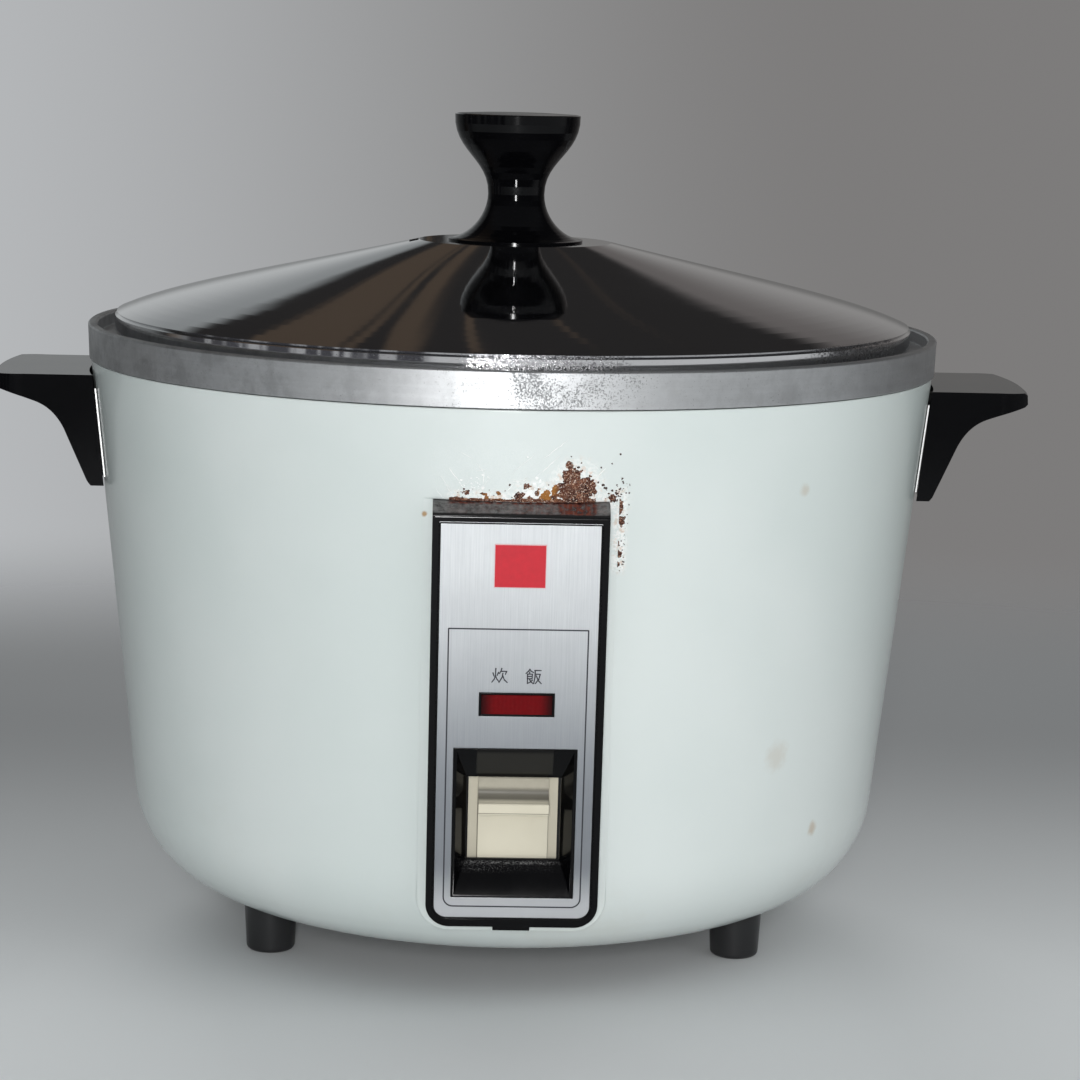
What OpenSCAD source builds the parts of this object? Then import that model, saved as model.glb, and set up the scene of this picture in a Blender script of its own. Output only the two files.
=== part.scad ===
// Electric rice cooker with a lift-out pot, a push-button switch and a magnetic thermostat.
// Millimetres. The floor is z = 0, the axis of the body is x = y = 0 and the front is -Y.

/* [Shell] */
// Height of the shell's underside above the floor
body_lift = 16; // [14:0.5:22]
// Height of the pot's underside above the shell's underside
pot_rise = 47; // [45:0.5:60]
// Radius of the wall at the shoulder
shell_top_r = 137; // [135:0.5:145]
// How much the wall draws in from the shoulder to the plane of the underside
shell_slant = 17.7; // [13:0.1:19]
// Radius of the rounded lower corner
shell_corner_r = 34; // [30:0.5:36]
// Thickness of the shell's sheet
sheet = 1; // [0.8:0.1:1.4]
// Distance of the upright lip inside the shoulder
lip_inset = 6; // [5:0.5:8]
// Height of the upright lip above the shoulder
lip_h = 4.4; // [3:0.1:4.8]

/* [Bottom plate and feet] */
// Distance of the bottom plate's edge inside the foot of the wall
plate_inset = 27.3; // [25:0.1:29]
// Thickness of the bottom plate
plate_t = 1; // [0.8:0.1:1.4]
// Overlap of the bottom plate and the shell's turned-in flange
plate_overlap = 16; // [14:1:20]
// Number of vent slots in the bottom plate
vent_count = 12; // [6:1:16]
// Width of one vent slot
vent_w = 4; // [2:0.5:6]
// Distance of the middle of a foot inside the bottom plate's edge
foot_inset = 5.2; // [4:0.1:8]
// Foot radius at its top
foot_top_r = 8.5; // [7:0.25:10]
// Foot radius at the floor
foot_base_r = 7.75; // [6:0.25:8]
// Rounding at the floor
foot_round = 1.5; // [0.5:0.25:2.5]

/* [Inner pot] */
// Distance that the collar band stands out beyond the shoulder
collar_overhang = 1; // [0.6:0.1:8]
// Height of the collar band
collar_h = 11; // [9:0.5:14]
// Inward taper of the collar band from rim to lower edge
collar_taper = 0.4; // [0:0.1:1]
// Width of the flat rim
rim_w = 3; // [2:0.25:4]
// Depth of the lid's seat below the rim
seat_drop = 4.2; // [3:0.2:5]
// Depth of the pot from its rim to its underside
pot_h = 136; // [132:0.5:140]
// Distance of the pot's wall inside the collar band, below its seat
pot_inset = 14.8; // [14:0.2:17]
// How much the pot's wall draws in from its seat to its underside
pot_slant = 16.2; // [14:0.2:19]
// Radius of the pot's lower corner
pot_corner_r = 28; // [24:1:32]
// Thickness of the pot
pot_t = 1.5; // [1.2:0.1:2]

/* [Lid] */
// Play between the lid's upright edge and the inside of the rim
lid_play = 5.6; // [4:0.2:7]
// Height of the lid's crease above the seat
lid_edge_h = 7.8; // [6:0.2:10]
// Height of the lid's flat top above the seat
lid_h = 32.1; // [28:0.5:38]
// Radius of the lid's flat top
lid_flat_r = 31.4; // [30:0.2:33]
// Thickness of the lid's sheet
lid_t = 1; // [0.8:0.1:1.4]
// Length of the steam slot
steam_slot_l = 10; // [6:0.5:14]
// Width of the steam slot
steam_slot_w = 3; // [2:0.25:4]

/* [Lid knob] */
// Height of the knob
knob_h = 40.7; // [36:0.5:48]
// Radius of the knob's top
knob_top_r = 20.4; // [18:0.2:24]
// Radius of the knob's neck
knob_neck_r = 9.2; // [8:0.2:11]
// Radius of the knob's spreading foot
knob_foot_r = 22; // [20:0.5:30]
// Thickness of the knob's foot at its edge
knob_edge = 0.6; // [0.5:0.1:1.5]

/* [Handles] */
// Reach of a handle beyond the shoulder
handle_reach = 31; // [29:1:39]
// Width of a handle across its grip
handle_w = 60; // [50:1:64]
// Height of a handle
handle_h = 35.5; // [32:0.5:40]
// Distance of the handle's top below the shoulder
handle_drop = 4.3; // [3:0.1:8]
// Thickness of the grip at its tip
grip_t = 4.6; // [4:0.2:6]
// Air gap between a handle and the wall
handle_gap = 1; // [0.6:0.1:1.5]
// Half the distance between the two screws of a handle
handle_screw_y = 15; // [12:0.5:18]
// Thickness of the stiffening plate inside the wall
handle_plate_t = 1.2; // [1:0.1:1.6]

/* [Switch panel] */
// Width of the bezel
bezel_w = 51; // [49:0.5:54]
// Length of the bezel along the wall
bezel_l = 129; // [126:0.5:134]
// Height of the bezel's lower end above the shell's underside
bezel_rise = 16.3; // [15:0.1:18]
// Height of the bezel's front over the line of the wall
bezel_proud = 4; // [3.4:0.1:5]
// Depth of the pressed seat behind the line of the wall
seat_sink = 3; // [2.8:0.1:3.4]
// Width of the pressed seat
seat_w = 56.4; // [56:0.2:58]
// Radius of the bezel's lower corners
bezel_round = 7; // [5:0.5:9]
// Slope of the bezel's upper end
bezel_slope = 3; // [1:0.5:4]
// Width of the face plate
face_w = 46.85; // [45:0.05:48]
// Margin of the face plate at its lower and upper end
face_margin = 2.5; // [2:0.1:3.5]
// Radius of the face plate's lower corners
face_round = 4; // [3:0.5:6]
// Thickness of the face plate
face_t = 0.7; // [0.5:0.1:0.9]
// Width of the emblem square
emblem_w = 15; // [10:0.5:18]
// Height of the emblem square
emblem_h = 13; // [9:0.5:15]
// Distance of the emblem's lower edge from the bezel's upper end
emblem_drop = 24.3; // [21:0.1:29]
// Width of the lamp window
lamp_w = 22; // [18:0.5:26]
// Height of the lamp window
lamp_h = 7.2; // [6:0.2:9]
// Distance of the lamp's middle above the well's mouth
lamp_rise = 13.5; // [11:0.1:18]

/* [Finger well] */
// Width of the well's mouth
well_w = 36.2; // [35:0.2:38]
// Length of the well's mouth
well_l = 46.6; // [45:0.2:48]
// Distance of the mouth's lower edge from the bezel's lower end
well_v = 9.2; // [8.5:0.1:10]
// Depth of the well
well_depth = 6; // [5:0.25:7]
// Width of the opening at the well's bottom
window_w = 28; // [27.4:0.1:29]
// Length of the opening at the well's bottom
window_l = 25.6; // [24:0.1:27]
// Height of the window's lower edge above the mouth's lower edge
window_rise = 10.2; // [9:0.1:11]
// Thickness of the bezel's walls
bezel_t = 1.4; // [1.1:0.1:1.6]

/* [Push button] */
// Width of the button
button_w = 20.9; // [19:0.1:22]
// Width of the button's backing flange
flange_w = 26.6; // [25:0.1:26.8]
// Thickness of the backing flange
flange_t = 2.5; // [2:0.1:3]
// Reach of the finger ledge in front of the button's face
ledge_reach = 4.9; // [3:0.1:6]
// Thickness of the finger ledge
ledge_t = 3.3; // [2:0.1:3.6]
// Height of the sloping scoop above the ledge
scoop_h = 6.8; // [5:0.1:8]
// Travel of the button
button_travel = 8; // [6:0.5:8]
// Width of the button's tail
tail_w = 10; // [9:0.5:12]

/* [Heater and liner] */
// Distance of the heater plate's edge inside the foot of the pot's wall
heater_inset = 19; // [15:0.5:23]
// Thickness of the heater plate
heater_t = 11; // [9:0.5:11]
// Height from the liner's underside to the top of the heater plate
heater_stack = 16; // [15:0.5:18]
// Thickness of the liner
liner_t = 0.6; // [0.5:0.1:0.8]
// Clearance between the pot and the liner
liner_gap = 1.6; // [1.2:0.1:2]
// Radius of the liner's lower corner
liner_corner_r = 32; // [28:1:34]
// Distance of the heating element's ring inside the heater plate's edge
element_inset = 26; // [18:1:32]
// Radius of the heating element's tube
element_r = 3.2; // [2.6:0.1:3.3]
// Distance of the heater posts from the axis
post_ring_r = 40; // [38:1:50]

/* [Thermostat] */
// Radius of the sensor cup
cup_r = 19; // [18:0.25:19.5]
// Height of the sensor cup
cup_h = 17.4; // [16.5:0.1:17.6]
// Wall of the sensor cup
cup_t = 0.8; // [0.6:0.1:0.9]
// Radius of the hole round the sensor cup
cup_hole_r = 20.5; // [20:0.1:22]
// Thickness of the ferrite disc
ferrite_t = 5; // [4:0.25:5.5]
// Radius of the magnet
magnet_r = 15; // [13:0.25:15.2]
// Thickness of the magnet
magnet_t = 5; // [4:0.25:5.5]
// Gap between magnet and ferrite with the switch off
magnet_gap = 4.6; // [4.5:0.1:5]
// Radius of the magnet's rod
rod_r = 3; // [2.4:0.1:3.2]

/* [Switch lever] */
// Drop of the lever's pivot below the liner
pivot_drop = 12; // [11.5:0.25:13]
// Distance of the pivot in front of the axis
pivot_y = 35; // [32:0.5:38]
// Radius of the pivot pin
pin_r = 1.5; // [1.25:0.05:1.8]
// Thickness of the lever's strip
lever_t = 1.5; // [1.2:0.1:1.8]
// Width of the lever's strip
lever_w = 12; // [10:0.5:13]
// Distance of the return spring inside the foot of the shell's wall
spring_inset = 55.3; // [52:0.1:60]

/* [Power inlet] */
// Width of the inlet
inlet_w = 44; // [38:1:48]
// Height of the inlet
inlet_h = 21; // [18:0.5:21]
// Height of the inlet's middle above the shell's underside
inlet_rise = 20; // [19:0.5:20.5]
// Distance that the inlet stands out of its seat
inlet_proud = 11; // [8:0.5:16]
// Length of the inlet from its inner end to its rear edge
inlet_l = 39; // [36:0.5:42]
// Distance of the flat rear seat inside the foot of the shell's wall
rear_seat_inset = 3.3; // [2.5:0.1:4.3]
// Radius of an inlet pin
inlet_pin_r = 2.4; // [2:0.1:2.8]
// Distance between the two inlet pins
inlet_pin_gap = 19; // [16:0.5:22]

/* [Hidden] */
$fn = 96;
eps = 0.01;
free = 0.3;      // running clearance between parts that move
close = 0.08;    // clearance of a pin in its bore

// Shell
pot_play = 0.4;
shell_h = pot_rise + pot_h - collar_h - pot_play;
shoulder_z = body_lift + shell_h;
shell_foot_r = shell_top_r - shell_slant;
lip_r = shell_top_r - lip_inset;
lean = atan((shell_top_r - shell_foot_r) / shell_h);
lip_z = shoulder_z + lip_h;
function wall_r(z) = shell_foot_r + (z - body_lift) * tan(lean);

// Bottom plate and feet
plate_r = shell_foot_r - plate_inset;
base_hole_r = plate_r - plate_overlap;
foot_ring_r = plate_r - foot_inset;
plate_play = 0.3;
plate_sink = 0.2;
plate_z = body_lift + plate_sink;
flange_z = plate_z + plate_t;
foot_angles = [-150, -30, 90];
foot_screw_r = 2;
foot_head_r = 3.6;
foot_head_h = 2.4;
foot_bore_h = 8;

// Pot
collar_r = shell_top_r + collar_overhang;
pot_top_r = collar_r - pot_inset;
pot_foot_r = pot_top_r - pot_slant;
skirt_z = shoulder_z + pot_play;
rim_z = skirt_z + collar_h;
seat_z = rim_z - seat_drop;
pot_z = rim_z - pot_h;
rim_in_r = collar_r - rim_w;
edge_break = 0.5;
pot_lean = atan((pot_top_r - pot_foot_r) / (seat_z - pot_t / 2 - pot_z));
pot_throat_r = pot_top_r - pot_t / cos(pot_lean);
skirt_in_r = collar_r - collar_taper - pot_t;

// Heater and liner
heater_r = pot_foot_r - heater_inset;
element_ring_r = heater_r - element_inset;
liner_z = pot_z - heater_stack;
liner_floor_z = liner_z + liner_t;
heater_z = pot_z - heater_t;
liner_top_r = pot_top_r + liner_gap + liner_t;
liner_foot_r = pot_foot_r - (pot_z - liner_z) * tan(pot_lean) + liner_gap + liner_t;
element_z = heater_z - 0.5;
terminal_angles = [80, 100];
terminal_r = 2.2;
terminal_end_z = liner_z - 9;
bush_r = 4;
bush_flange_r = 5.5;
bush_flange_t = 3;
post_angles = [30, 150, 270];
post_r = 4;
post_screw_r = 1.6;
post_head_r = 3;
post_head_h = 2;

// Thermostat
cup_z = pot_z - cup_h;
ferrite_z = pot_z - cup_t - ferrite_t;
magnet_z = ferrite_z - magnet_gap - magnet_t;
frame_t = 1;
frame_r = 26;
frame_flange_r = 31;
frame_z = cup_z - 1.1 - frame_t;
holder_t = 1.5;
spring_wire_r = 0.5;

// Lever: its front tongue moves the button and its rear fork lifts the magnet's rod
spring_y = shell_foot_r - spring_inset;
pivot_z = liner_z - pivot_drop;
hub_r = 3.2;
strip_z = pivot_z + 1.3;
strip_top_z = strip_z + lever_t;
fork_w = 16;
fork_slot_w = 2 * rod_r + 1.4;
fork_end_y = 1.5;
collar_t = 1.2;
rod_collar_r = 7;
rod_collar_z = strip_top_z + free;
rod_end_z = strip_z - 5;
tab_y = [-78, -70];
bracket_y = [-pivot_y - 13, -pivot_y + 3.4];
tab_x = 20;
tongue_w = 6;

// Switch panel: local x runs right, y runs up the wall and z points out of it
panel_z = body_lift + bezel_rise;
panel_r = wall_r(panel_z);
bezel_front_t = 2;
well_front_rim = 0.9;
seat_bottom = -4;
seat_top = bezel_l + 0.2;
seat_round = 10;
face_floor = bezel_proud - 1;
well_floor = bezel_proud - well_depth;
window_v = well_v + window_rise;
window_top = window_v + window_l;
button_face = well_floor - 1.7;
button_back = button_face - 3.5;
flange_back = button_back - flange_t;
flange_v = [6, 54];
tail_back = flange_back - 2.3;
stud_x = 20.5;
stud_r = 1.5;
boss_r = 3;
nut_r = 2.8;
nut_t = 2;
ear_t = 1.6;
stud_v = [8, 60, bezel_l - 8];
emblem_v = bezel_l - emblem_drop;
lamp_v = well_v + well_l + lamp_rise;
guide_w = flange_w + 5.4;
guide_v = [2, 57];
guide_front = -seat_sink - sheet;
guide_back = tail_back;
function on_panel_point(p) = [
    p[0],
    -panel_r - p[1] * sin(lean) - p[2] * cos(lean),
    panel_z + p[1] * cos(lean) - p[2] * sin(lean)
];
button_top = window_top - 0.6;
button_low = window_v - button_travel + 0.6;
ledge_top = button_top - scoop_h;
// The slot of the tail, which holds the lever's tongue with room for its tilt
slot_v = [
    (strip_z - 0.5 - panel_z + tail_back * sin(lean)) / cos(lean),
    (strip_top_z + free - panel_z + flange_back * sin(lean)) / cos(lean)
];
tail_low = slot_v[0] - 1.4;
tongue_tip_y = on_panel_point([0, (strip_z - panel_z) / cos(lean), flange_back + 0.5])[1];

// Switch contacts
block_x = [9.2, 19];
block_y = [-52, -40];
blade_x = [11, 17];
blade_t = 0.5;
blade_z = strip_z - 0.4 - blade_t;
blade_tip_y = -83;
rivet_y = -80;
rivet_r = 2.2;
fixed_rivet_z = blade_z - 6.8;

// Inlet
rear_seat_y = shell_foot_r - rear_seat_inset;
inlet_reach = rear_seat_y + inlet_proud;
inlet_z = body_lift + inlet_rise;
inlet_front_y = inlet_reach - inlet_l;
inlet_floor_y = inlet_front_y + 4;
pin_tail_y = inlet_front_y - 4;
inlet_stub_r = inlet_pin_r - 0.4;
inlet_wall = 3;
inlet_ear_x = 27;
inlet_ear_w = 9;
inlet_ear_h = 6.5;
inlet_ear_z = inlet_z + inlet_h / 2 - inlet_ear_h;
rear_seat_w = 68;
rear_seat_rise = 4.5;

// Handles
handle_tip_r = shell_top_r + handle_reach;
handle_top_z = shoulder_z - handle_drop;
handle_low_z = handle_top_z - handle_h;
handle_screw_z = handle_top_z - 7.6;
plate_clear = 0.1;
handle_screw_r = 1.9;
handle_head_r = 3.6;
handle_head_h = 2.4;
handle_sweep = 2 * asin(handle_w / 2 / shell_top_r) + 6;

// Lid knob
lid_r = rim_in_r - lid_play;
lid_seat_z = seat_z;
lid_top_z = lid_seat_z + lid_h;
lid_crease_z = lid_seat_z + lid_edge_h;
knob_bore_r = 2.5;
knob_bore_h = 16;

// Colours
enamel = [0.84, 0.875, 0.86];
black = [0.04, 0.04, 0.045];
steel = [0.62, 0.63, 0.64];
bright = [0.8, 0.8, 0.81];
alloy = [0.72, 0.73, 0.74];
cream = [0.85, 0.82, 0.73];
brass = [0.78, 0.62, 0.3];
ceramic = [0.92, 0.9, 0.85];

// ---------- shared shapes ----------

// Half section of a tapered cup with a rounded lower corner, made smaller all round by inset
module cup_section(top_r, foot_r, z0, z1, corner, inset = 0) {
    slant = atan((top_r - foot_r) / (z1 - z0));
    cx = foot_r + corner * tan(slant) - corner / cos(slant);
    cz = z0 + corner;
    round_r = corner - inset;
    translate([cx, cz]) circle(r = round_r);
    polygon([
        [0, z0 + inset], [cx, z0 + inset], [cx, cz],
        [cx + round_r * cos(slant), cz - round_r * sin(slant)],
        [top_r - inset / cos(slant), z1], [0, z1]
    ]);
}

module tube_z(r_out, r_in, z0, z1) {
    translate([0, 0, z0]) difference() {
        cylinder(r = r_out, h = z1 - z0);
        translate([0, 0, -1]) cylinder(r = r_in, h = z1 - z0 + 2);
    }
}

module rod_z(r, z0, z1) {
    translate([0, 0, z0]) cylinder(r = r, h = z1 - z0);
}

module box(x, y, z) {
    translate([x[0], y[0], z[0]]) cube([x[1] - x[0], y[1] - y[0], z[1] - z[0]]);
}

// Moves its children onto the plane of the switch panel
module on_panel() {
    translate([0, -panel_r, panel_z]) rotate([90 + lean, 0, 0]) children();
}

// Upright rectangle whose two lower corners are round
module round_foot_rect(w, y0, y1, r) {
    translate([-w / 2, y0 + r]) square([w, y1 - y0 - r]);
    translate([-w / 2 + r, y0]) square([w - 2 * r, r + eps]);
    for (side = [-1, 1]) translate([side * (w / 2 - r), y0 + r]) circle(r = r);
}

module panel_slab(w, y0, y1, r, z0, z1) {
    translate([0, 0, z0]) linear_extrude(z1 - z0) round_foot_rect(w, y0, y1, r);
}

function unit(v) = v / norm(v);
function bezier(a, b, c, d, t) =
    pow(1 - t, 3) * a + 3 * pow(1 - t, 2) * t * b + 3 * (1 - t) * t * t * c + pow(t, 3) * d;
function bezier_points(a, b, c, d, n) = [for (i = [0:n]) bezier(a, b, c, d, i / n)];
// A smooth curve through the points, with steps pieces between each pair
function spline_at(p, i, t) =
    let (a = p[max(i - 1, 0)], b = p[i], c = p[i + 1], d = p[min(i + 2, len(p) - 1)])
    0.5 * (2 * b + (c - a) * t + (2 * a - 5 * b + 4 * c - d) * t * t + (3 * b - a - 3 * c + d) * t * t * t);
function spline(p, steps) = concat(
    [for (i = [0:len(p) - 2], k = [0:steps - 1]) spline_at(p, i, k / steps)],
    [p[len(p) - 1]]
);
function ring(centre, along, side, r, n) =
    let (u = unit(cross(along, side)), v = cross(u, unit(along)))
    [for (k = [0:n - 1]) centre + r * (cos(360 * k / n) * u + sin(360 * k / n) * v)];

// Round tube along a list of points, with a direction that is never in line with it
module sweep_tube(path, sides_of_path, r, n = 8) {
    last = len(path) - 1;
    points = [for (i = [0:last])
        each ring(path[i], path[min(i + 1, last)] - path[max(i - 1, 0)], sides_of_path[i], r, n)];
    faces = concat(
        [[for (k = [0:n - 1]) k]],
        [for (i = [0:last - 1], k = [0:n - 1]) let (m = (k + 1) % n)
            each [[i * n + k, (i + 1) * n + k, (i + 1) * n + m], [i * n + k, (i + 1) * n + m, i * n + m]]],
        [[for (k = [n - 1:-1:0]) last * n + k]]
    );
    polyhedron(points = points, faces = faces, convexity = 6);
}

// Coil spring that stands on z0 and reaches z1
module coil_spring(r, wire, z0, z1, turns, steps = 16) {
    count = turns * steps;
    rise = z1 - z0 - 2 * wire;
    path = [for (i = [0:count]) let (a = 360 * i / steps)
        [r * cos(a), r * sin(a), z0 + wire + rise * i / count]];
    sweep_tube(path, [for (i = [0:count]) [0, 0, 1]], wire);
}

module lead(points, r = 1.3) {
    path = spline(points, 3);
    sweep_tube(path, [for (p = path) [0.31, 0.17, 1]], r);
}

// ---------- shell, base and feet ----------

module shell_form(inset) {
    difference() {
        rotate_extrude() cup_section(shell_top_r, shell_foot_r, body_lift, shoulder_z, shell_corner_r, inset);
        on_panel() translate([-seat_w / 2 + inset, seat_bottom + inset, -seat_sink - inset])
            cube([seat_w - 2 * inset, seat_top - seat_bottom - 2 * inset, 30]);
        box([-rear_seat_w / 2 - inset, rear_seat_w / 2 + inset], [rear_seat_y - inset, 200],
            [body_lift, inlet_z + inlet_h / 2 + rear_seat_rise + inset]);
    }
    on_panel() panel_slab(seat_w - 2 * inset, seat_bottom + inset, seat_top - inset, seat_round - inset,
        -seat_sink - 12, -seat_sink - inset);
}

module outer_shell() color(enamel) difference() {
    union() {
        difference() {
            shell_form(0);
            difference() {
                shell_form(sheet);
                rod_z(plate_r + plate_play + sheet, body_lift - 1, flange_z + sheet);
                rod_z(400, shoulder_z - sheet, shoulder_z + 1);
            }
        }
        tube_z(lip_r, lip_r - sheet, shoulder_z - sheet, lip_z);
    }
    rod_z(lip_r - sheet, shoulder_z - 2 * sheet, lip_z + 1);
    rod_z(plate_r + plate_play, body_lift - 1, flange_z);
    rod_z(base_hole_r, body_lift - 1, flange_z + 2 * sheet);
    for (a = foot_angles) rotate(a) translate([foot_ring_r, 0, 0])
        rod_z(foot_screw_r + close, body_lift, flange_z + 2 * sheet);
    for (side = [-1, 1], y = [-1, 1]) translate([0, y * handle_screw_y, handle_screw_z])
        rotate([0, side * 90, 0]) rod_z(handle_screw_r + close, shell_foot_r - 10, shell_top_r + 10);
    on_panel() {
        translate([0, 0, -seat_sink - 2 * sheet]) {
            translate([-window_w / 2 - 2.2, button_low - button_travel - 1, 0])
                cube([window_w + 4.4, window_top + 3.5 - (button_low - button_travel - 1), 3 * sheet]);
            translate([-lamp_w / 2 - 2, lamp_v - 6, 0]) cube([lamp_w + 4, 12, 3 * sheet]);
        }
        for (x = [-1, 1], v = stud_v) translate([x * stud_x, v, -seat_sink - 2 * sheet])
            cylinder(r = stud_r + close, h = 3 * sheet);
    }
    inlet_opening(free);
    for (side = [-1, 1]) translate([side * inlet_ear_x, rear_seat_y - 5, inlet_ear_z + inlet_ear_h / 2])
        rotate([-90, 0, 0]) cylinder(r = 1.5 + close, h = 10);
}

module inlet_opening(play) {
    box([-inlet_w / 2 - play, inlet_w / 2 + play], [inlet_front_y, 150],
        [inlet_z - inlet_h / 2 - play, inlet_z + inlet_h / 2 + play]);
}

module bottom_plate() color(steel) difference() {
    union() {
        rod_z(plate_r, plate_z, plate_z + plate_t);
        tube_z(base_hole_r - 2, base_hole_r - 5, plate_z, plate_z + plate_t + 1);
        translate([0, -spring_y, plate_z]) cylinder(r = 3.6, h = plate_t + 3);
    }
    for (i = [0:vent_count - 1]) rotate(360 * (i + 0.5) / vent_count)
        box([34, 62], [-vent_w / 2, vent_w / 2], [plate_z - 1, plate_z + plate_t + 1]);
    for (a = foot_angles) rotate(a) translate([foot_ring_r, 0, 0])
        rod_z(foot_screw_r + close, body_lift, flange_z + sheet);
}

module foot(angle) color(black) rotate(angle) translate([foot_ring_r, 0, 0]) rotate_extrude() polygon(concat(
    [[foot_screw_r + close, foot_bore_h], [foot_head_r + close, foot_bore_h], [foot_head_r + close, 0]],
    [for (a = [-90:15:0]) [foot_base_r - foot_round + foot_round * cos(a), foot_round + foot_round * sin(a)]],
    [[foot_top_r, plate_z - 1], [foot_top_r - 0.6, plate_z], [foot_screw_r + close, plate_z]]
));

module foot_front_left() foot(foot_angles[0]);
module foot_front_right() foot(foot_angles[1]);
module foot_rear() foot(foot_angles[2]);

module foot_screws() color(bright) for (a = foot_angles) rotate(a) translate([foot_ring_r, 0, 0]) {
    rod_z(foot_head_r, foot_bore_h - foot_head_h, foot_bore_h);
    rod_z(foot_screw_r, foot_bore_h - eps, flange_z + sheet + 4);
    translate([0, 0, flange_z + sheet]) cylinder(r = 4, h = 3, $fn = 6);
}

module inner_liner() color(bright) difference() {
    union() {
        rotate_extrude() difference() {
            cup_section(liner_top_r, liner_foot_r, liner_z, lip_z, liner_corner_r, 0);
            cup_section(liner_top_r, liner_foot_r, liner_z, lip_z, liner_corner_r, liner_t);
        }
        tube_z(lip_r + 0.6, liner_top_r - liner_t / cos(pot_lean), lip_z, lip_z + liner_t);
    }
    rod_z(cup_hole_r, liner_z - 1, liner_floor_z + 1);
    for (a = terminal_angles) rotate(a) translate([element_ring_r, 0, 0])
        rod_z(bush_r, liner_z - 1, liner_floor_z + 1);
    for (a = post_angles) rotate(a) translate([post_ring_r, 0, 0])
        rod_z(post_screw_r + close, liner_z - 1, liner_floor_z + 1);
}

// ---------- handles ----------

module handle_section() {
    low_z = handle_top_z - grip_t;
    turn = bezier_points([handle_tip_r - 12, low_z - 3.8], [shell_top_r + 14.5, low_z - 5.3],
        [shell_top_r + 11.6, low_z - 8.1], [shell_top_r + 9.2, low_z - 12.9], 12);
    polygon(concat(
        [[shell_foot_r, handle_low_z], [shell_foot_r, handle_top_z], [handle_tip_r - 1.2, handle_top_z],
            [handle_tip_r - 0.2, handle_top_z - 0.8], [handle_tip_r, low_z + 0.8],
            [handle_tip_r - 0.9, low_z]],
        turn,
        [[shell_top_r + 2, handle_low_z + 1.3], [shell_top_r + 1, handle_low_z]]
    ));
}

module handle(side) color(black) difference() {
    intersection() {
        rotate(side > 0 ? -handle_sweep / 2 : 180 - handle_sweep / 2)
            rotate_extrude(angle = handle_sweep) handle_section();
        translate([0, 0, handle_low_z - 1]) linear_extrude(handle_h + 2) handle_plan(side);
    }
    difference() {
        rotate_extrude() translate([handle_gap, 0]) polygon([
            [0, handle_low_z - 2], [wall_r(handle_low_z - 2), handle_low_z - 2],
            [wall_r(handle_top_z + 2), handle_top_z + 2], [0, handle_top_z + 2]
        ]);
        for (y = [-1, 1]) translate([0, y * handle_screw_y, handle_screw_z]) rotate([0, side * 90, 0])
            cylinder(r = 6, h = handle_tip_r);
    }
    rotate_extrude() cup_section(shell_top_r, shell_foot_r, body_lift, shoulder_z, shell_corner_r, -0.02);
    for (y = [-1, 1]) translate([0, y * handle_screw_y, handle_screw_z]) rotate([0, side * 90, 0])
        cylinder(r = handle_screw_r, h = shell_top_r + 7.5);
}

module handle_plan(side) {
    round_r = 9;
    corner_x = handle_tip_r - round_r;
    x0 = shell_foot_r - 20;
    mirror([side > 0 ? 0 : 1, 0]) {
        translate([x0, -handle_w / 2]) square([corner_x - x0, handle_w]);
        translate([x0, -handle_w / 2 + round_r]) square([handle_tip_r + 1 - x0, handle_w - 2 * round_r]);
        for (y = [-1, 1]) translate([corner_x, y * (handle_w / 2 - round_r)]) circle(r = round_r + 0.4);
    }
}

module handle_left() handle(-1);
module handle_right() handle(1);

module handle_plates() color(steel) difference() {
    for (turn = [0, 180]) rotate(turn - 10) rotate_extrude(angle = 20) handle_plate_section();
    for (side = [-1, 1], y = [-1, 1]) translate([0, y * handle_screw_y, handle_screw_z])
        rotate([0, side * 90, 0]) rod_z(handle_screw_r + close, shell_foot_r - 10, shell_top_r + 10);
}

module handle_plate_section() {
    out = (sheet + plate_clear) / cos(lean);
    in = out + handle_plate_t / cos(lean);
    low = handle_screw_z - 12;
    high = handle_screw_z + 6.5;
    polygon([
        [wall_r(low) - out, low], [wall_r(high) - out, high],
        [wall_r(high) - in, high], [wall_r(low) - in, low]
    ]);
}

// Where the flat head of a handle screw meets the curved plate inside the wall
handle_seat_r = wall_r(handle_screw_z - handle_head_r)
    - (sheet + 2 * plate_clear + handle_plate_t) / cos(lean);
handle_seat_x = sqrt(pow(handle_seat_r, 2) - pow(handle_screw_y + handle_head_r, 2));

module handle_screws() color(bright) for (side = [-1, 1], y = [-1, 1])
    translate([0, y * handle_screw_y, handle_screw_z]) rotate([0, side * 90, 0]) {
        rod_z(handle_head_r, handle_seat_x - handle_head_h, handle_seat_x);
        rod_z(handle_screw_r, handle_seat_x - eps, shell_top_r + 7);
    }

// ---------- switch panel ----------

// Four-sided funnel of the finger well, made larger all round by grow
module well_form(grow, front, back) {
    mouth = [well_w - 2 * well_front_rim, well_v + well_front_rim, well_v + well_l - well_front_rim];
    depth = well_floor - bezel_proud;
    function mouth_half(z) = mouth[0] / 2 + (window_w - mouth[0]) / 2 * (z - bezel_proud) / depth + grow;
    function low(z) = mouth[1] + (window_v - mouth[1]) * (z - bezel_proud) / depth - grow;
    function high(z) = mouth[2] + (window_top - mouth[2]) * (z - bezel_proud) / depth + grow;
    intersection() {
        translate([0, 200, 0]) rotate([90, 0, 0]) linear_extrude(400) polygon([
            [-mouth_half(back), back], [mouth_half(back), back],
            [mouth_half(front), front], [-mouth_half(front), front]
        ]);
        translate([-200, 0, 0]) rotate([90, 0, 90]) linear_extrude(400) polygon([
            [low(back), back], [high(back), back], [high(front), front], [low(front), front]
        ]);
    }
}

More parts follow.
